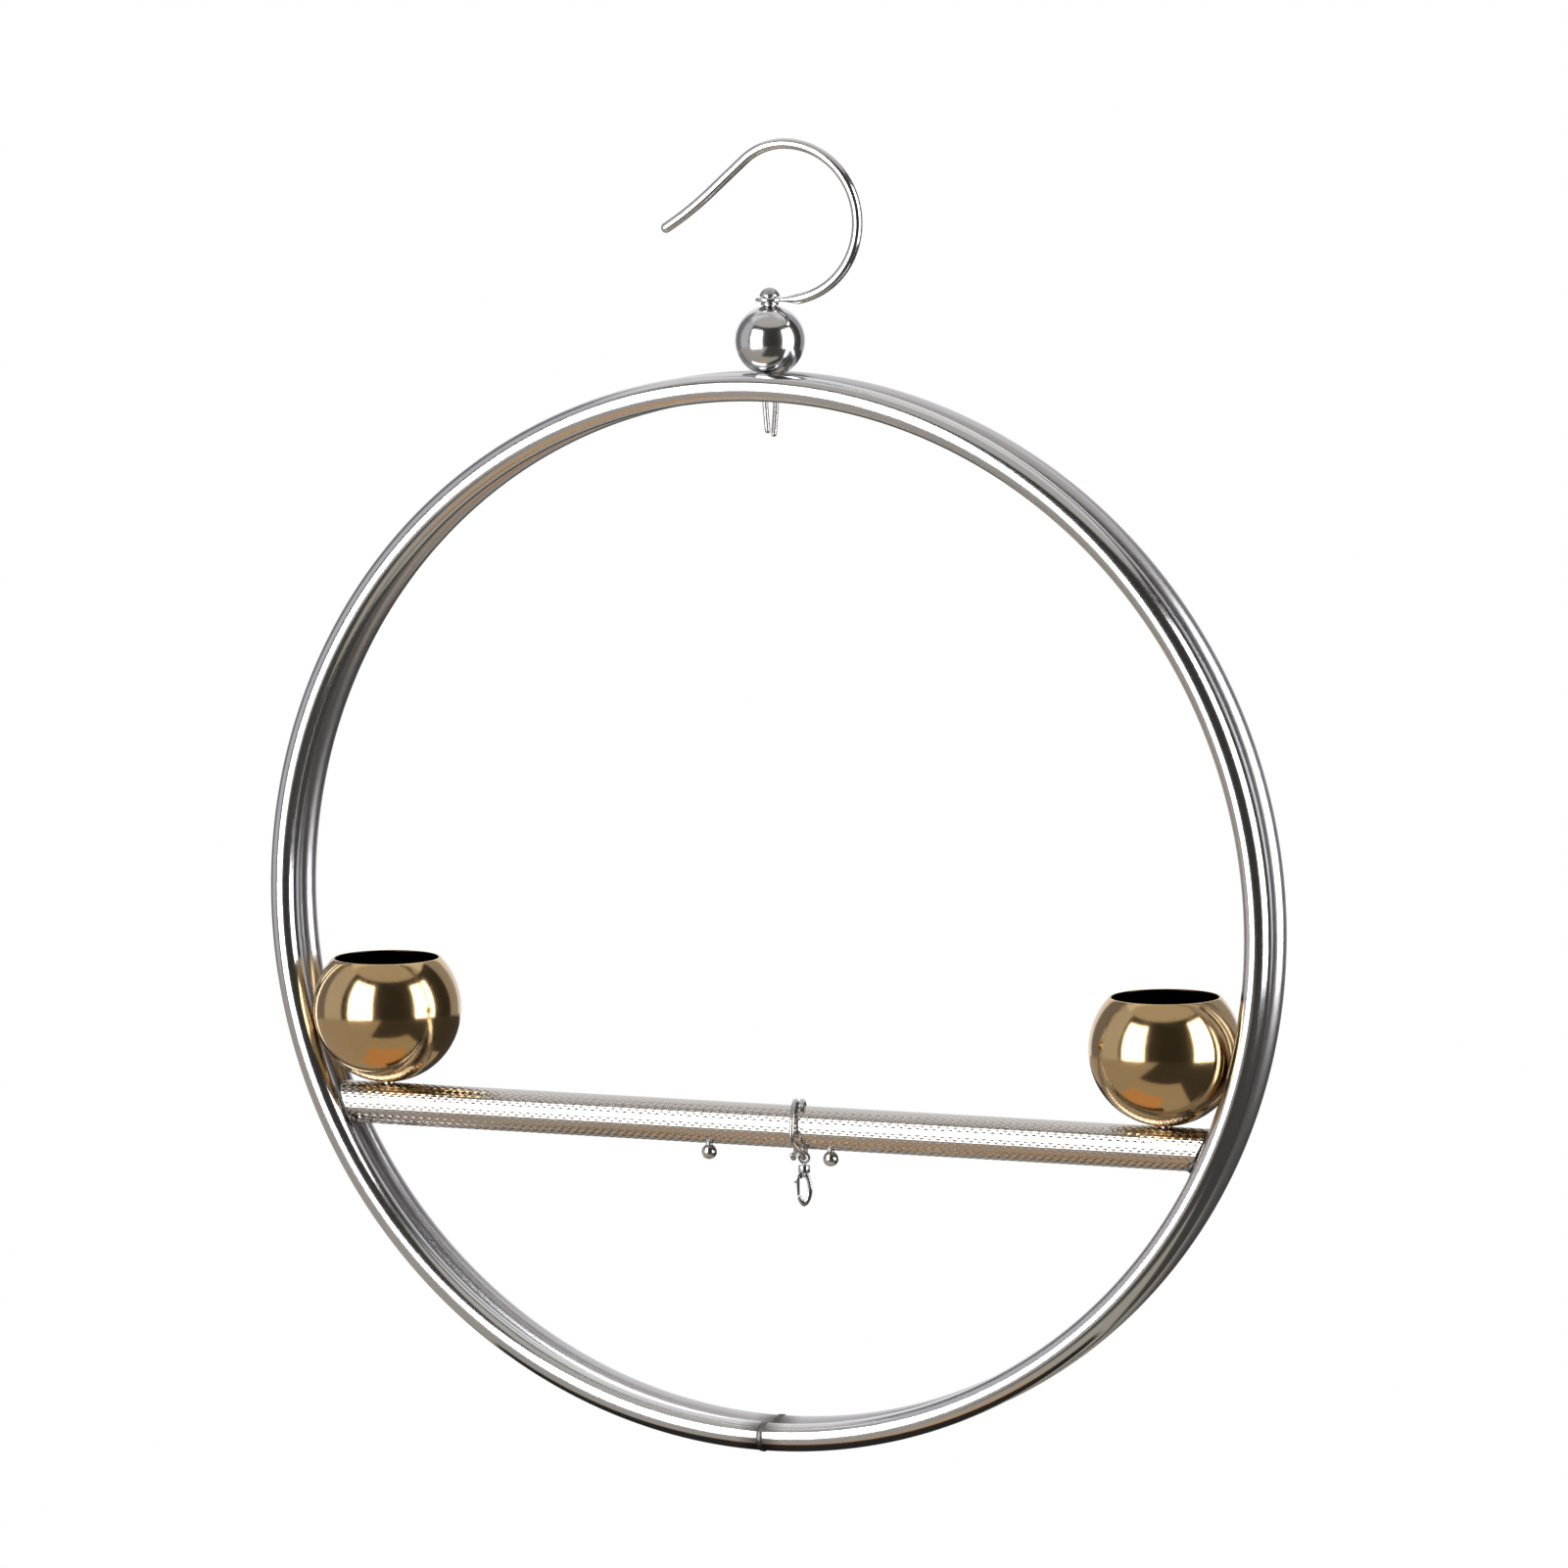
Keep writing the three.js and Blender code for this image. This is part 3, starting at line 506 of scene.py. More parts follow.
# %% Drawn stainless steel
# Real streaks are finer, and these are drawn as coarse as they need to be to show
DRAW_STREAK = 0.8
DRAWN_GLOSS = (0.16, 0.36)
DRAWN_RELIEF = (0.15, 0.05)
DRAWN = uneven_surface("drawn_stainless_steel", ("#C2C1BF", "#A4A29F"), [(DRAW_STREAK, 4)],
                       DRAWN_GLOSS, DRAWN_RELIEF)

# %% [markdown]
# A split pin holds the hanger together: its domed head sits on the hook's eye, its shank goes down
# through the bush and the ball, and its two prongs pass between the rings and are bent apart under
# them, one to the front and one to the rear. The prongs are swept like the hook, in small bends, and
# then pressed towards each other at their ends.

# %% Split pin
PIN_HEAD = 7.4
PIN_SHANK = 4.4
HEAD_EDGE_ANGLE = 4
PRONG = 2.05
PRONG_START = 3.5
PRONG_LEFT_RISE = 1.4
PRONG_BEND = 3.4
PRONG_SPREAD_ANGLE = math.radians(26)
PRONG_SLANT = 1.5
PRONG_RETURN = math.radians(6)
PRONG_CLOSING = 0.5
PRONG_SIDES = 16
PRONG_STEP = 0.35
RING_TOP_Z = RING_CENTRE.z + RING_RADIUS


def split_pin():
    """Head, shank and two spread prongs."""
    bm = bmesh.new()
    dome = ((PIN_HEAD / 2) ** 2 + PIN_HEAD_HEIGHT ** 2) / (2 * PIN_HEAD_HEIGHT)
    rim = math.degrees(math.asin((dome - PIN_HEAD_HEIGHT) / dome))
    shank_end = RING_TOP_Z + TUBE / 2 - PLAY
    turn_piece(bm, [
        (0, shank_end),
        (PIN_SHANK / 2, shank_end),
        (PIN_SHANK / 2, HEAD_Z),
        (PIN_HEAD / 2 - PLAY, HEAD_Z),
        *arc(0, pin_high.z - dome, dome, rim + HEAD_EDGE_ANGLE, 90, 12),
    ])
    radius = PRONG / 2 - SKIN
    bent_z = RING_TOP_Z - TUBE / 2
    for side, rise in ((-1, PRONG_LEFT_RISE), (1, 0)):
        start = Vector((side * (PRONG + PLAY) / 2, 0, RING_TOP_Z + PRONG_START))
        bends = [
            (PRONG_START / 2, 0),
            (PRONG_BEND, PRONG_SPREAD_ANGLE),
            (PRONG_SLANT, 0),
            (PRONG_BEND, -PRONG_SPREAD_ANGLE),
            (PRONG_BEND, -PRONG_RETURN),
        ]
        used = sum(length for length, _ in bends)
        bends.append((RING_TOP_Z + PRONG_START - pin_low.z - used - rise - radius, 0))
        before = set(bm.verts)
        _, tip, end, ahead = sweep_rod(bm, radius, PRONG_SIDES, start, (0, 0, -1), (0, side, 0), bends,
                                       PRONG_STEP)
        round_end(bm, tip, end, ahead, radius)
        for vert in set(bm.verts) - before:
            below = max(0, (bent_z - vert.co.z) / (bent_z - pin_low.z))
            vert.co.x -= start.x * PRONG_CLOSING * below
    return bm


finish_piece("split_pin_spread", split_pin(), "drawn_steel", "split_pin", DRAWN)

# %% [markdown]
# A short bush keeps the hook's tail clear of the ball. It is a collar with a bore, like a washer, so one
# function turns such collars, as large as their solids, and breaks their corners.

# %% Swivel bush
BUSH_CORNER = 0.25


def turned_collar(node, bore, corner):
    """A short collar with a bore and broken corners, as large as its solid."""
    low, high = box_mm(node)
    outside = (high.x - low.x) / 2
    bm = bmesh.new()
    turn_piece(bm, [(bore, low.z), (outside, low.z), (outside, high.z), (bore, high.z), (bore, low.z)])
    break_corners(bm, corner)
    move(bm, ((low.x + high.x) / 2, 0, 0), bm.verts)
    return bm


bush = turned_collar("swivel_bush", EYE_BORE, BUSH_CORNER)
finish_piece("turned_bush", bush, "drawn_steel", "swivel_bush", DRAWN)

# %% [markdown]
# The hanger ball is a polished globe, drilled through for the pin, that rests in the groove between the
# rings. Its section runs up the outside and down the drilled hole, and one spin closes it.

# %% Hanger ball


def hanger_ball():
    """A drilled ball with eased holes."""
    low, high = box_mm("hanger_ball")
    radius = (high.x - low.x) / 2 - SKIN
    hole = math.degrees(math.acos((EYE_BORE + PLAY) / radius))
    outside = arc(0, (low.z + high.z) / 2, radius, -hole, hole, 56)
    bottom = (EYE_BORE, outside[0][1] + PLAY)
    bm = bmesh.new()
    turn_piece(bm, [bottom, *outside, (EYE_BORE, outside[-1][1] - PLAY), bottom], steps=96)
    return bm


finish_piece("drilled_ball", hanger_ball(), "polished_steel", "hanger_ball", BUFFED)

# %% [markdown]
# The perch bar is knurled: two hardened wheels press crossing spiral grooves into the turning tube and
# leave rows of small pyramids that give a grip. The finish draws the peaks bright and the grooves a
# little darker, told apart by their distance from the bar's axis.

# %% Knurled stainless steel
KNURL_PITCH = 3.15
KNURL_SLANT = math.radians(30)
KNURL_DEPTH = 0.11
WEAR_PATCH = 6
bar_low, bar_high = box_mm("perch_bar")
BAR_RADIUS = (bar_high.z - bar_low.z) / 2
BAR_Z = (bar_high.z + bar_low.z) / 2


def knurled_stainless(name):
    """Bright peaks and duller grooves."""
    material = uneven_surface(name, ("#E2E1E0", "#BEB9B4"), [(WEAR_PATCH, 3)], gloss=(0.1, 0.18))
    tree = material.node_tree
    place = tree.nodes["Texture Coordinate"].outputs["Object"]
    across = add_node(tree, "ShaderNodeMapping", {"Scale": (0, 1, 1), "Location": (0, 0, -BAR_Z * MM)},
                      {"Vector": place})
    height = add_node(tree, "ShaderNodeVectorMath", {"operation": "LENGTH"}, {0: across.outputs["Vector"]})
    groove = add_node(tree, "ShaderNodeMapRange",
                      {"From Min": (BAR_RADIUS - KNURL_DEPTH) * MM, "From Max": BAR_RADIUS * MM,
                       "To Min": 1, "To Max": 0}, {"Value": height.outputs["Value"]})
    tree.links.new(groove.outputs["Result"], tree.nodes["Mix"].inputs[0])
    return material


KNURLED = knurled_stainless("knurled_stainless_steel")

# %% [markdown]
# On a grid of rings and lines, every second point of a chessboard is pressed in, and each quad is split
# along the groove, so four faces meet at each peak. The ends are then cut on a slant that follows the
# inner side of the rings.

# %% Perch bar
KNURL_AROUND = round(2 * math.pi * BAR_RADIUS / (KNURL_PITCH * math.tan(KNURL_SLANT)))
BAR_TOP = bar_high.x - RING_CENTRE.x
END_RADIUS = math.hypot(BAR_TOP, bar_high.z - RING_CENTRE.z)
BAR_FOOT = math.sqrt(END_RADIUS ** 2 - (bar_low.z - RING_CENTRE.z) ** 2)
END_MIDDLE = (BAR_TOP + BAR_FOOT) / 2
END_SLANT = (BAR_TOP - BAR_FOOT) / (2 * BAR_RADIUS)
BROKEN_RIM = 0.2
RIM_SHARE = 0.975
WALL_SHARE = 0.88
PLUG_DEPTH = 3


def perch_bar():
    """A tube with rows of pressed pyramids, cut to the rings and hollow at the ends for the plugs."""
    bm = bmesh.new()
    radius = BAR_RADIUS - SKIN
    start = Matrix.Translation((-BAR_TOP, 0, 0)) @ ACROSS_X
    circle = bmesh.ops.create_circle(bm, segments=2 * KNURL_AROUND, radius=radius, matrix=start)["verts"]
    rows = 2 * round(2 * BAR_TOP / KNURL_PITCH)
    row = 2 * BAR_TOP / rows
    bmesh.ops.spin(bm, geom=edges_of(circle), axis=(1, 0, 0), dvec=(row, 0, 0), angle=0, steps=rows)
    between = math.pi / KNURL_AROUND
    pressed = [vert for vert in bm.verts
               if (round(math.atan2(vert.co.z, vert.co.y) / between) + round(vert.co.x / row)) % 2]
    sunk = 1 - KNURL_DEPTH / radius
    bmesh.ops.scale(bm, vec=(1, sunk, sunk), verts=pressed)
    bmesh.ops.triangulate(bm, faces=bm.faces, quad_method="SHORT_EDGE")

    # An end is cut on the slant, its rim is broken, and its wall runs back inside to where the plug ends
    for way in (-1, 1):
        cut = bmesh.ops.bisect_plane(bm, geom=bm.verts[:] + bm.edges[:] + bm.faces[:], clear_outer=True,
                                     plane_co=(way * (END_MIDDLE - BROKEN_RIM - SKIN), 0, 0),
                                     plane_no=(way, 0, -END_SLANT))
        loop = wire_loop(cut["geom_cut"])
        about = Matrix.Translation((-way * END_MIDDLE, 0, 0))
        for ahead, shrink in ((BROKEN_RIM, RIM_SHARE), (0, WALL_SHARE), (-PLUG_DEPTH - PLAY, 1)):
            loop, verts = extrude_loop(bm, loop)
            bmesh.ops.scale(bm, vec=(shrink, shrink, shrink), space=about, verts=verts)
            move(bm, (way * ahead, 0, 0), verts)
        bmesh.ops.edgeloop_fill(bm, edges=loop)
    move(bm, (RING_CENTRE.x, 0, BAR_Z), bm.verts)
    return bm


finish_piece("knurled_bar", perch_bar(), "knurled_steel", "perch_bar", KNURLED, corner=3)

# %% [markdown]
# A plug closes each end of the bar, flush with the slanted cut. Only its outer face ever shows, between
# the rings, so it is a disc with broken corners, laid along the bar and sheared to the slant. It takes
# the dark weld finish as painted shade, for the shadow in the gap between the bar's end and the ring.

# %% Bar plugs
PLUG_SHARE = 0.8
PLUG_CORNER = 0.35


def bar_plug(way):
    """The plug at one end of the bar."""
    bm = bmesh.new()
    radius = PLUG_SHARE * BAR_RADIUS
    lay = Matrix.Translation((way * (END_MIDDLE - PLUG_DEPTH / 2 - SKIN), 0, 0)) @ ACROSS_X
    bmesh.ops.create_cone(bm, cap_ends=True, segments=64, radius1=radius, radius2=radius, depth=PLUG_DEPTH,
                          matrix=lay)
    break_corners(bm, PLUG_CORNER)
    bmesh.ops.transform(bm, matrix=Matrix.Shear("XY", 4, (way * END_SLANT, 0)), verts=bm.verts)
    move(bm, (RING_CENTRE.x, 0, BAR_Z), bm.verts)
    return bm


# The plugs take the dark weld finish as painted shade, for the shadow at the bar's ends
for side, way in (("left", -1), ("right", 1)):
    finish_piece(f"{side}_bar_plug", bar_plug(way), "drawn_steel", f"{side}_bar_cap", WELD)

# %% [markdown]
# Four small fillets of weld join the bar's ends to the rings. Their solids already fit the corner, so a
# merged copy of each is divided and roughened with noise, inwards only, so that it stays in its corner.

# %% Bar fillets
FILLET_MERGE = 1e-3
FILLET_ROUGHNESS = 0.25
FILLET_LUMPS_PER_MM = 0.9
FILLET_SMOOTHING = 0.4


def bar_fillet(node):
    """A roughened copy of a fillet's solid."""
    bm = bmesh.new()
    bm.from_mesh(frame["nodes"][node].data)
    bmesh.ops.scale(bm, vec=(1 / MM, 1 / MM, 1 / MM), verts=bm.verts)
    bmesh.ops.remove_doubles(bm, verts=bm.verts, dist=FILLET_MERGE)
    bmesh.ops.subdivide_edges(bm, edges=bm.edges, cuts=1, use_grid_fill=True)
    bmesh.ops.smooth_vert(bm, verts=bm.verts, factor=FILLET_SMOOTHING,
                          use_axis_x=True, use_axis_y=True, use_axis_z=True)
    bm.normal_update()
    for vert in bm.verts:
        vert.co -= vert.normal * FILLET_ROUGHNESS * abs(noise.noise(vert.co * FILLET_LUMPS_PER_MM))
    return bm


for end in ("left", "right"):
    for side in ("front", "rear"):
        node = f"{end}_{side}_bar_weld"
        finish_piece(f"{end}_{side}_fillet", bar_fillet(node), "weld_steel", node, WELD, corner=60)

# %% [markdown]
# The seed cups are steel globes, spun hollow and cut open at the top. Outside they are buffed and carry
# a thin pale gold tint, so the room shows in them in brass and brown. Inside they are drawn almost
# black.

# %% Gold-tinted polished steel
TINT_PATCH = 14
GILT = uneven_surface("gold_tinted_polished_steel", ("#C3A576", "#D1B489"),
                      [(TINT_PATCH, 4), (BUFF_MARK, 3)], gloss=(0.09, 0.17), relief=(0.05, 0.1))
# The cups' inside is drawn near black
NEAR_BLACK_INSIDE = uneven_surface("near_black_cup_inside", ("#1E1B18", "#2E2A26"), [(DRAW_STREAK, 4)],
                            DRAWN_GLOSS, DRAWN_RELIEF)

# %% [markdown]
# A cup is turned from one closed outline: up the outside, over the rolled lip and down the inside. Faces
# that lie nearer to its centre than the middle of the wall take the near-black inside finish.

# %% Seed cups
CUP_WALL = 0.9
CUP_MOUTH_HEIGHT = 18.9
CUP_HOLE = 2.3
CUP_HOLE_RIM = 0.3
LIP_ANGLE = 1.2


def seed_cup(side):
    """A globe cup with a rolled lip, a near-black inside and a hole whose rim is pressed down to the bar.
    """
    low, high = box_mm(f"{side}_cup")
    radius = (high.y - low.y) / 2 - SKIN
    inner = radius - CUP_WALL
    centre = Vector(((low.x + high.x) / 2, 0, high.z - CUP_MOUTH_HEIGHT))
    mouth = math.degrees(math.asin(CUP_MOUTH_HEIGHT / radius)) - LIP_ANGLE
    floor = math.degrees(math.acos((CUP_HOLE + CUP_HOLE_RIM) / radius))
    foot = low.z - centre.z - CUP_HOLE_RIM
    lip = radius - CUP_WALL / 2
    lip_across = lip * math.cos(math.radians(mouth))
    lip_up = lip * math.sin(math.radians(mouth))
    bm = bmesh.new()
    outline = [
        (CUP_HOLE, foot),
        (CUP_HOLE + CUP_HOLE_RIM, foot),
        *arc(0, 0, radius, -floor, mouth, 48),
        *arc(lip_across, lip_up, CUP_WALL / 2, mouth, mouth + 180, 8)[1:-1],
        *arc(0, 0, inner, mouth, -math.degrees(math.acos(CUP_HOLE / inner)), 40),
    ]
    turn_piece(bm, [*outline, outline[0]], steps=96)
    bmesh.ops.recalc_face_normals(bm, faces=bm.faces)
    for face in bm.faces:
        face.material_index = int(face.calc_center_median().length < lip)
    move(bm, centre, bm.verts)
    return bm


for side in ("left", "right"):
    finish_piece(f"{side}_seed_cup", seed_cup(side), "gilt_steel", f"{side}_cup", GILT, NEAR_BLACK_INSIDE)

# %% [markdown]
# Each cup rests on the bar and is held by a cross-head screw and a washer inside it, screwed into a
# riveted insert. The recess is cut as a punch makes it: two crossing strips of the head's top are
# marked off with planes, and pushed down.

# %% Cup screws and washers
RECESS_HALF_WIDTH = 0.5
RECESS_REACH = 2
RECESS_DEPTH = 1.2
SCREW_THREAD = 2
SCREW_HEAD_HEIGHT = 2.4
HEAD_TOP_SHARE = 0.7
WASHER_CORNER = 0.15


def cup_screw(side):
    """A pan-head screw with a cross recess."""
    low, high = box_mm(f"{side}_cup_screw")
    head = (high.x - low.x) / 2
    under = high.z - SCREW_HEAD_HEIGHT
    bm = bmesh.new()
    turn_piece(bm, [
        (0, low.z),
        (SCREW_THREAD, low.z),
        (SCREW_THREAD, under),
        (head, under),
        (head, high.z - SCREW_HEAD_HEIGHT / 3),
        (head * HEAD_TOP_SHARE, high.z - SKIN),
        (0, high.z - SKIN),
    ], steps=48)
    for normal in ((1, 0, 0), (0, 1, 0)):
        for offset in (-RECESS_REACH, -RECESS_HALF_WIDTH, RECESS_HALF_WIDTH, RECESS_REACH):
            top = [face for face in bm.faces if face.calc_center_median().z > high.z - 2 * SKIN]
            edges = {edge for face in top for edge in face.edges}
            verts = {vert for face in top for vert in face.verts}
            bmesh.ops.bisect_plane(bm, geom=[*top, *edges, *verts], plane_co=Vector(normal) * offset,
                                   plane_no=normal)
    recess = []
    for face in bm.faces:
        spot = face.calc_center_median()
        short_way, long_way = sorted((abs(spot.x), abs(spot.y)))
        if spot.z > high.z - 2 * SKIN and long_way < RECESS_REACH and short_way < RECESS_HALF_WIDTH:
            recess.append(face)
    pushed = bmesh.ops.extrude_face_region(bm, geom=recess)["geom"]
    bmesh.ops.delete(bm, geom=recess, context="FACES_KEEP_BOUNDARY")
    sunk = [item for item in pushed if isinstance(item, bmesh.types.BMVert)]
    move(bm, (0, 0, -RECESS_DEPTH), sunk)
    move(bm, ((low.x + high.x) / 2, 0, 0), bm.verts)
    return bm


for side in ("left", "right"):
    finish_piece(f"{side}_cross_screw", cup_screw(side), "drawn_steel", f"{side}_cup_screw", DRAWN)
    washer = turned_collar(f"{side}_cup_washer", CUP_HOLE, WASHER_CORNER)
    finish_piece(f"{side}_flat_washer", washer, "drawn_steel", f"{side}_cup_washer", DRAWN)

# %% [markdown]
# The riveted inserts and the clip's leaf spring are hardly seen, and their solids have the right shape
# already. They stay, and take a finish in their own material slots.

# %% Solids that stay
for node in ("left_cup_insert", "right_cup_insert", "clip_spring"):
    slots = frame["nodes"][node].data.materials
    slots.clear()
    slots.append(DRAWN)
    print("kept solid:", node)

# %% [markdown]
# Two ball-headed pins under the bar stop the leg loop. The head is a turned ball that runs into its
# shank through a small neck.

# %% Stop pins
STOP_HEAD = 5.6
STOP_SHANK = 2.4


def stop_pin(side):
    """A ball head on a plain shank."""
    low, high = box_mm(f"{side}_stop_pin")
    head = STOP_HEAD / 2 - SKIN
    shank = STOP_SHANK / 2 - SKIN
    neck = math.degrees(math.acos(shank / head))
    bm = bmesh.new()
    ball = arc(0, low.z + STOP_HEAD / 2, head, -90, neck, 28)
    turn_piece(bm, [*ball, (shank, high.z), (0, high.z)], steps=48)
    move(bm, ((low.x + high.x) / 2, 0, 0), bm.verts)
    return bm


for side in ("left", "right"):
    finish_piece(f"{side}_ball_stop", stop_pin(side), "polished_steel", f"{side}_stop_pin", BUFFED)

# %% [markdown]
# The leg loop is a springy wire wound nearly twice round the bar. The wire's circle is carried round in
# small turns about the bar's direction and shifted sideways a little at each: it crosses once from the
# right-hand lane to the left-hand lane, and the lanes stand further apart at the bottom, where the clip
# hangs in one of them.

# %% Leg loop
LOOP_WIRE = 1.9
LOOP_BORE = 18.4
LOOP_OFFSET = 11.3
LOOP_X = RING_CENTRE.x + LOOP_OFFSET
LOOP_TOP_PITCH = 2.45
LOOP_START = 65
LOOP_CROSSING = 310
LOOP_CROSSING_TURN = 40
LOOP_END = 665
LOOP_STEP = 4
LOOP_SIDES = 20
LOOP_RADIUS = (LOOP_BORE + LOOP_WIRE) / 2

clip_swing = {joint["name"]: joint for joint in frame["record"]["behaviour"]["joints"]}["clip_swing"]
CLIP_PLACE = Vector(clip_swing["pos_m"]) / MM
LOOP_Z = CLIP_PLACE.z + LOOP_RADIUS
LOOP_SKEW = math.atan2(-clip_swing["axis"][0], clip_swing["axis"][1])
LOOP_SPREAD = 2 * (CLIP_PLACE.xy - Vector((LOOP_X, 0))).length


def lane(angle):
    """How far the wire stands to the right at a turn of so many degrees from the front."""
    share = min(1, max(0, (angle - LOOP_CROSSING) / LOOP_CROSSING_TURN))
    crossed = share * share * (3 - 2 * share)
    low = (1 - math.sin(math.radians(angle))) / 2
    return (LOOP_TOP_PITCH + (LOOP_SPREAD - LOOP_TOP_PITCH) * low) * (0.5 - crossed)


def leg_loop():
    """The wound wire with rounded ends."""
    bm = bmesh.new()
    radius = LOOP_WIRE / 2 - SKIN
    front = Matrix.Translation((lane(LOOP_START), -LOOP_RADIUS, 0))
    circle = bmesh.ops.create_circle(bm, segments=LOOP_SIDES, radius=radius, matrix=front)["verts"]
    turn_about(bm, "X", math.radians(-LOOP_START), circle)
    first = loop = edges_of(circle)
    for angle in range(LOOP_START + LOOP_STEP, LOOP_END + 1, LOOP_STEP):
        loop, verts = extrude_loop(bm, loop)
        turn_about(bm, "X", math.radians(-LOOP_STEP), verts)
        move(bm, (lane(angle) - lane(angle - LOOP_STEP), 0, 0), verts)
    for edges, angle, way in ((first, LOOP_START, -1), (loop, angle, 1)):
        tilt = math.radians(angle)
        place = Vector((lane(angle), -LOOP_RADIUS * math.cos(tilt), LOOP_RADIUS * math.sin(tilt)))
        ahead = Vector((0, math.sin(tilt), math.cos(tilt))) * way
        round_end(bm, edges, place, ahead, radius)
    turn_about(bm, "Z", LOOP_SKEW, bm.verts)
    move(bm, (LOOP_X, 0, LOOP_Z), bm.verts)
    return bm


finish_piece("leg_loop_wire", leg_loop(), "drawn_steel", "leg_loop", DRAWN)

# %% [markdown]
# The clip hangs on the loop by a swivel eye: a small wire ring on a stem, whose head turns inside the
# clip's barrel. The clip's pieces are drawn about the wire's centre and then turned with the loop.

# %% Clip eye
EYE_WIRE = 0.9
EYE_RING = 1.8
STEM = 1.1
STEM_HEAD = 2.3
STEM_HEAD_HEIGHT = 0.7
BARREL_TOP = -2.55
BARREL_BOTTOM = -5.45
BARREL_RADIUS = 2.1
BARREL_END = 0.8


def hang_on_loop(bm):
    """Turns a clip piece with the loop and moves it to the wire."""
    turn_about(bm, "Z", LOOP_SKEW, bm.verts)
    move(bm, CLIP_PLACE, bm.verts)
    return bm


def clip_eye():
    """A wire ring, its stem and the stem's head."""
    bm = bmesh.new()
    start = Matrix.Translation((EYE_RING, 0, 0))
    circle = bmesh.ops.create_circle(bm, segments=16, radius=EYE_WIRE / 2 - SKIN, matrix=start)["verts"]
    spin_round(bm, circle, (0, 0, 0), (0, 1, 0), 48)
    head_top = BARREL_TOP - BARREL_END - PLAY
    turn_piece(bm, [
        (0, head_top - STEM_HEAD_HEIGHT),
        (STEM_HEAD / 2, head_top - STEM_HEAD_HEIGHT),
        (STEM_HEAD / 2, head_top),
        (STEM / 2, head_top),
        (STEM / 2, -EYE_RING),
        (0, -EYE_RING),
    ], steps=32)
    return hang_on_loop(bm)


finish_piece("swivel_eye", clip_eye(), "drawn_steel", "clip_eye", DRAWN)

# %% [markdown]
# The clip's body is a small casting: a barrel above an oval claw that is open on the left, and two
# cheeks that carry the trigger's pin. Two ovals are bridged into a flat ring, the opening is cut out
# with planes, and the ring is given its thickness and rounded edges, as a tumbled casting has.

# %% Clip body
CLAW_WIDTH = 5.6
CLAW_HEIGHT = 12.4
CLAW_SIDE = 1.45
CLAW_TOE = 2
CLAW_THICKNESS = 3
CLAW_OVERLAP = 0.4
OPENING_X = 0.4
TRIGGER_THICKNESS = 0.9
GATE_LENGTH = 6.4
HUB_RADIUS = 1.15
CASTING_ROUND = 0.38
CLAW_Z = BARREL_BOTTOM + CLAW_OVERLAP - CLAW_HEIGHT / 2
PIVOT = Vector((-CLAW_WIDTH / 2 + HUB_RADIUS + PLAY, 0, BARREL_BOTTOM - HUB_RADIUS))
GATE_TOP = PIVOT.z - HUB_RADIUS / 2
GATE_BOTTOM = GATE_TOP - GATE_LENGTH


def oval(bm, width, height, up):
    """A flat oval loop in the claw's plane."""
    verts = bmesh.ops.create_circle(bm, segments=72, radius=1)["verts"]
    turn_about(bm, "X", math.pi / 2, verts)
    bmesh.ops.scale(bm, vec=(width / 2, 1, height / 2), verts=verts)
    move(bm, (0, 0, up), verts)
    return edges_of(verts)


def thicken(bm, thickness):
    """Gives a flat sheet in the claw's plane its thickness, half to each side."""
    raised = bmesh.ops.extrude_face_region(bm, geom=list(bm.faces), use_keep_orig=True)["geom"]
    lifted = [item for item in raised if isinstance(item, bmesh.types.BMVert)]
    move(bm, (0, thickness, 0), lifted)
    move(bm, (0, -thickness / 2, 0), bm.verts)


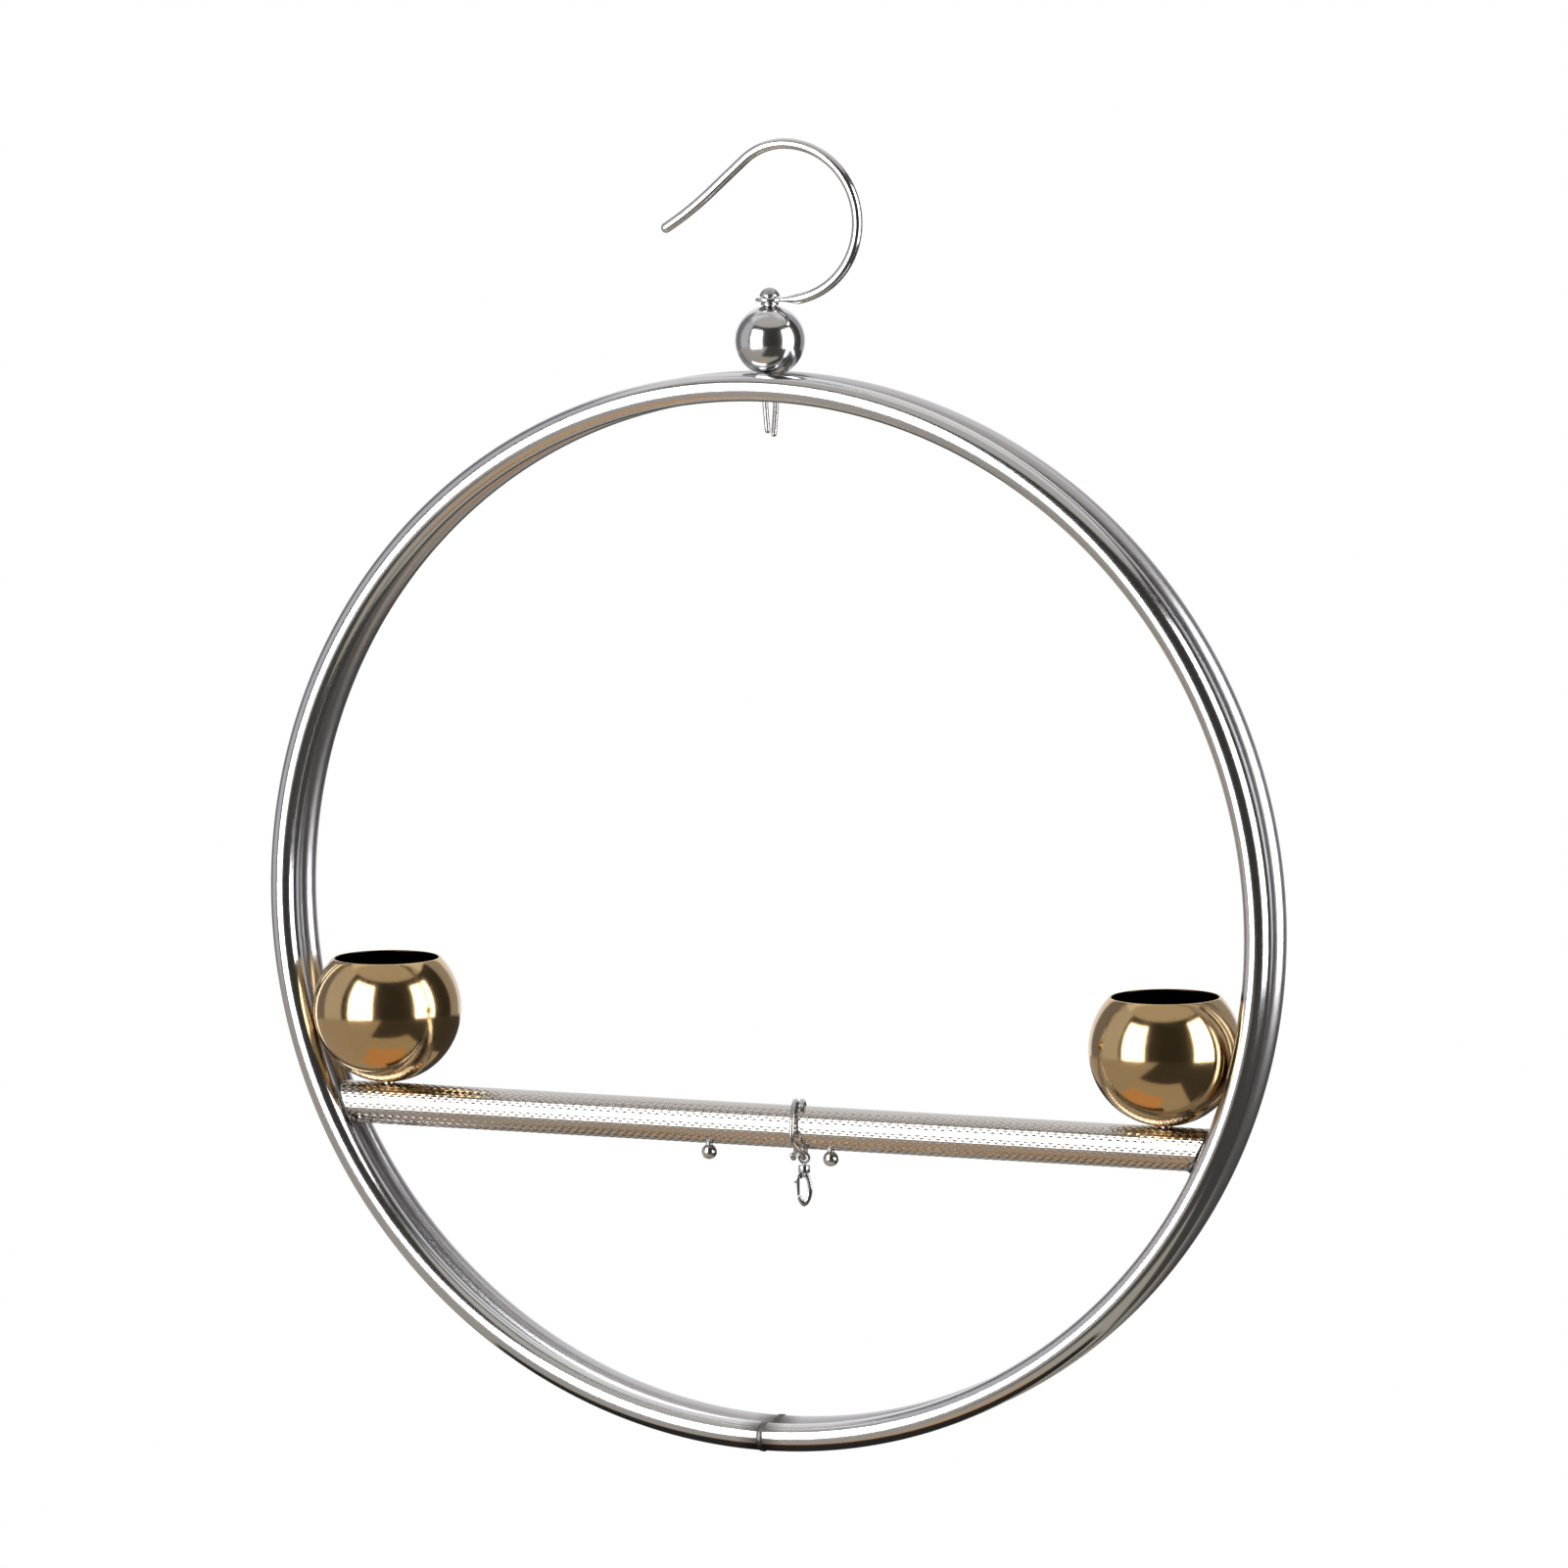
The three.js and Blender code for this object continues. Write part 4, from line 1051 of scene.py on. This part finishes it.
def clip_claw():
    """Barrel, claw and cheeks."""
    bm = bmesh.new()
    outer = oval(bm, CLAW_WIDTH, CLAW_HEIGHT, CLAW_Z)
    hole_top = PIVOT.z - PLAY
    hole_bottom = CLAW_Z - CLAW_HEIGHT / 2 + CLAW_TOE
    inner = oval(bm, CLAW_WIDTH - 2 * CLAW_SIDE, hole_top - hole_bottom, (hole_top + hole_bottom) / 2)
    bmesh.ops.bridge_loops(bm, edges=outer + inner)
    open_low, open_high = GATE_BOTTOM - PLAY, BARREL_BOTTOM + PLAY
    for height in (open_low, open_high):
        bmesh.ops.bisect_plane(bm, geom=bm.verts[:] + bm.edges[:] + bm.faces[:], plane_co=(0, 0, height),
                               plane_no=(0, 0, 1))
    opened = []
    for face in bm.faces:
        spot = face.calc_center_median()
        if spot.x < OPENING_X and open_low < spot.z < open_high:
            opened.append(face)
    bmesh.ops.delete(bm, geom=opened, context="FACES")
    thicken(bm, CLAW_THICKNESS)
    break_corners(bm, CASTING_ROUND)

    turn_piece(bm, [
        (0, BARREL_BOTTOM),
        *arc(BARREL_RADIUS - CASTING_ROUND, BARREL_BOTTOM + CASTING_ROUND, CASTING_ROUND, -90, 0, 5),
        *arc(BARREL_RADIUS - CASTING_ROUND, BARREL_TOP - CASTING_ROUND, CASTING_ROUND, 0, 90, 5),
        (STEM / 2 + PLAY, BARREL_TOP),
        (STEM / 2 + PLAY, BARREL_TOP - BARREL_END),
        (STEM_HEAD / 2 + PLAY, BARREL_TOP - BARREL_END),
        (STEM_HEAD / 2 + PLAY, BARREL_BOTTOM + BARREL_END),
        (0, BARREL_BOTTOM + BARREL_END),
    ], steps=40)

    slot_half = TRIGGER_THICKNESS / 2 + PLAY
    for way in (-1, 1):
        cheek = turn_piece(bm, [
            (0, slot_half),
            (HUB_RADIUS, slot_half),
            *arc(HUB_RADIUS - PLAY, CLAW_THICKNESS / 2 - PLAY, PLAY, 0, 90, 4),
            (0, CLAW_THICKNESS / 2),
        ], steps=32)
        turn_about(bm, "X", -way * math.pi / 2, cheek)
        move(bm, PIVOT + Vector((0, 0, PLAY)), cheek)
    return hang_on_loop(bm)


finish_piece("clip_claw", clip_claw(), "polished_steel", "clip_body", BUFFED)

# %% [markdown]
# The trigger is a small stamped lever: it turns on a pin between the cheeks, closes the claw's opening
# and has a tab for the thumb. Its outline is one face, given its thickness and eased edges. The pin is
# a short rod with domed ends.

# %% Clip trigger and its pin
GATE_WIDTH = 1.1
GATE_CORNER = 0.12
HUB_CORNER = 0.1
TAB_REACH = 0.9
TAB_HEIGHT = 1.2
PIVOT_PIN = 0.7


def clip_gate():
    """The lever with its thumb tab and hub."""
    bm = bmesh.new()
    edge = -CLAW_WIDTH / 2
    tab_top = GATE_TOP - TAB_HEIGHT / 2
    outline = [
        (PIVOT.x, PIVOT.z),
        (edge + PLAY, PIVOT.z - PLAY),
        (edge, tab_top),
        (edge - TAB_REACH, tab_top - PLAY),
        (edge - TAB_REACH, tab_top - TAB_HEIGHT),
        (edge, tab_top - TAB_HEIGHT - PLAY),
        (edge + PLAY, GATE_BOTTOM),
        (edge + GATE_WIDTH, GATE_BOTTOM),
        (edge + GATE_WIDTH, GATE_TOP),
    ]
    bm.faces.new([bm.verts.new((x, 0, z)) for x, z in outline])
    half = TRIGGER_THICKNESS / 2 - SKIN
    thicken(bm, 2 * half)
    break_corners(bm, GATE_CORNER)
    radius = HUB_RADIUS - PLAY
    hub = turn_piece(bm, [
        (0, -half),
        (radius - HUB_CORNER, -half),
        (radius, HUB_CORNER - half),
        (radius, half - HUB_CORNER),
        (radius - HUB_CORNER, half),
        (0, half),
    ], steps=32)
    turn_about(bm, "X", math.pi / 2, hub)
    move(bm, PIVOT, hub)
    return hang_on_loop(bm)


def clip_pin():
    """The trigger's pin, with domed ends flush with the cheeks."""
    bm = bmesh.new()
    half = CLAW_THICKNESS / 2
    dome = PIVOT_PIN / 4
    turn_piece(bm, [
        (0, -half),
        *arc(dome, dome - half, dome, -90, 0, 4),
        *arc(dome, half - dome, dome, 0, 90, 4),
        (0, half),
    ], steps=24)
    turn_about(bm, "X", math.pi / 2, bm.verts)
    move(bm, PIVOT, bm.verts)
    return hang_on_loop(bm)


finish_piece("clip_gate", clip_gate(), "polished_steel", "clip_trigger", BUFFED)
finish_piece("clip_pivot_pin", clip_pin(), "drawn_steel", "clip_trigger_pin", DRAWN)

# %% [markdown]
# The perch hangs well above a plain round floor with a pale, matt coat of paint, whose brightness varies
# hardly visibly, in soft clouds.

# %% Floor
FLOOR_Z = -0.9
FLOOR_RADIUS = 1.3
PAINT_CLOUD = 90
PAINT_ROUGHNESS = 0.7

paint = uneven_surface("pale_matt_floor_paint", ("#F1F0EE", "#EAE9E7"), [(PAINT_CLOUD, 4)], metallic=0)
paint.node_tree.nodes["Principled BSDF"].inputs["Roughness"].default_value = PAINT_ROUGHNESS
disc = bmesh.new()
bmesh.ops.create_circle(disc, cap_ends=True, segments=96, radius=FLOOR_RADIUS,
                        matrix=Matrix.Translation((0, 0, FLOOR_Z)))
mesh_object("pale_floor", disc, [paint])
print(f"floor {FLOOR_RADIUS * 2:.1f} m across at {FLOOR_Z} m")

# %% [markdown]
# Polished metal has hardly a colour of its own: the eye sees the room in it. So the studio is built as
# the metal would see it. Two tall windows stand to the left and right of the camera, a dark wall lies
# between them, the left wall and the ceiling behind are pale, the rest is dim, and a wooden stool stands
# below. A black card just under the rings is a painted shadow: it stands for the rings' own shadow below
# them, and darkens their undersides. All these are panels that only reflections can see, and they give
# no other light.

# %% Panels that the metal sees
ROOM_RADIUS = 3
ROOM_TOP = 3.1
WINDOW_BRIGHTNESS = 6
WINDOW = {"distance": 1.3, "low": -0.55, "high": 0.78}
CARD_DROP = 0.01
GROUND_STEP = 0.002


def seen_in_metal(name, bm, hex_colour, brightness=1):
    """A panel that shows in reflections only."""
    glow = bpy.data.materials.new(name)
    glow.use_nodes = True
    tree = glow.node_tree
    tree.nodes.remove(tree.nodes["Principled BSDF"])
    light = add_node(tree, "ShaderNodeEmission", {"Color": linear(hex_colour), "Strength": brightness}, {})
    tree.links.new(light.outputs["Emission"], tree.nodes["Material Output"].inputs["Surface"])
    panel = mesh_object(name, bm, [glow])
    panel.visible_camera = False
    panel.visible_diffuse = False
    panel.visible_transmission = False
    panel.visible_shadow = False
    print("panel:", name)


def wall(name, start, end, hex_colour, brightness=1, distance=ROOM_RADIUS, low=FLOOR_Z, high=ROOM_TOP):
    """A piece of round wall between two bearings, in degrees to the right of the camera."""
    bm = bmesh.new()
    foot = bm.verts.new((0, -distance, low))
    head = bm.verts.new((0, -distance, high))
    upright = bm.edges.new((foot, head))
    turn_about(bm, "Z", CAMERA_AZIMUTH + math.radians(start), [foot, head])
    bmesh.ops.spin(bm, geom=[foot, head, upright], axis=(0, 0, 1), angle=math.radians(end - start),
                   steps=24)
    seen_in_metal(name, bm, hex_colour, brightness)


def slab(name, forward, sideways, depth, width, height, hex_colour, turn=CAMERA_AZIMUTH):
    """A level rectangle, placed from the perch towards the camera and to its right."""
    bm = bmesh.new()
    bmesh.ops.create_grid(bm, x_segments=1, y_segments=1, size=0.5)
    bmesh.ops.scale(bm, vec=(width, depth, 1), verts=bm.verts)
    move(bm, (sideways, -forward, height), bm.verts)
    turn_about(bm, "Z", turn, bm.verts)
    seen_in_metal(name, bm, hex_colour)


wall("dark_wall_behind_camera", -76, 121, "#3B3936")
wall("pale_wall_left", -112, -76, "#D0CFD1")
wall("dim_wall_far_left", -150, -112, "#87868A")
wall("pale_wall_far_right", 121, 150, "#AEADB2")
wall("left_window", -66, -28, "#FFFFFF", WINDOW_BRIGHTNESS, **WINDOW)
wall("right_window", 44, 82, "#FFFFFF", WINDOW_BRIGHTNESS, **WINDOW)
slab("dim_ceiling", 1.5, 0, 3, 2 * ROOM_RADIUS, ROOM_TOP, "#CBC6BF")
slab("bright_ceiling_behind", -1.5, 0, 3, 2 * ROOM_RADIUS, ROOM_TOP, "#F4F3F2")
slab("dark_far_ground", 0, 0, 2 * ROOM_RADIUS, 2 * ROOM_RADIUS, FLOOR_Z + GROUND_STEP, "#4B4845")
slab("pale_ground_left", 0, -1.75, 2 * ROOM_RADIUS, 2.5, FLOOR_Z + 2 * GROUND_STEP, "#B6AFA7")
slab("grey_ground", 0, -0.05, 1.3, 0.9, FLOOR_Z + 2 * GROUND_STEP, "#B9B2A4")
slab("wood_stool", 0.1, -0.16, 0.4, 0.5, FLOOR_Z + 3 * GROUND_STEP, "#DCAC7A")
# Painted shadow: a black card just under the rings stands for their shadow below them, as the metal sees it
card_z = ring_low.z * MM - CARD_DROP
slab("painted_shadow_under_rings", 0, RING_CENTRE.x * MM, 0.045, 0.3, card_z, "#2B2A29", turn=0)

# %% [markdown]
# Two area lamps shine from where the windows are and light the floor. Reflections don't see them, as the
# windows stand in their place. The world is white to the camera and to reflections, and a little dimmer
# as a light.

# %% Softboxes and world
SOFTBOX_DISTANCE = 2
SOFTBOX_WATTS = 24
WORLD_LIGHT = 0.55


def softbox(name, bearing, up, width, height):
    """A rectangular lamp at a bearing to the right of the camera, aimed at the ring's centre."""
    lamp = bpy.data.lights.new(name, "AREA")
    lamp.shape = "RECTANGLE"
    lamp.size = width
    lamp.size_y = height
    lamp.energy = SOFTBOX_WATTS
    way = direction(CAMERA_AZIMUTH + math.radians(bearing), math.radians(up))
    box = bpy.data.objects.new(name, lamp)
    box.location = RING_CENTRE * MM + way * SOFTBOX_DISTANCE
    box.rotation_mode = "QUATERNION"
    box.rotation_quaternion = way.to_track_quat("Z", "Y")
    box.visible_camera = False
    box.visible_glossy = False
    scene.collection.objects.link(box)
    print(f"{name}: {bearing} degrees right, {SOFTBOX_WATTS} W")


softbox("left_softbox", -45, 24, 1.46, 2.04)
softbox("right_softbox", 61, 22, 1.55, 2.04)

world = bpy.data.worlds.new("white_studio")
world.use_nodes = True
scene.world = world
sky = world.node_tree
rays = add_node(sky, "ShaderNodeLightPath", {}, {})
seen = add_node(sky, "ShaderNodeMath", {"operation": "ADD"},
                {0: rays.outputs["Is Camera Ray"], 1: rays.outputs["Is Glossy Ray"]})
shown = add_node(sky, "ShaderNodeMath", {"operation": "ADD", "use_clamp": True},
                 {0: seen.outputs["Value"], 1: rays.outputs["Is Transmission Ray"]})
strength = add_node(sky, "ShaderNodeMapRange", {"To Min": WORLD_LIGHT, "To Max": 1},
                    {"Value": shown.outputs["Value"]})
backdrop = sky.nodes["Background"]
backdrop.inputs["Color"].default_value = (1, 1, 1, 1)
sky.links.new(strength.outputs["Result"], backdrop.inputs["Strength"])
print(f"world: {world.name}, {WORLD_LIGHT} as a light")
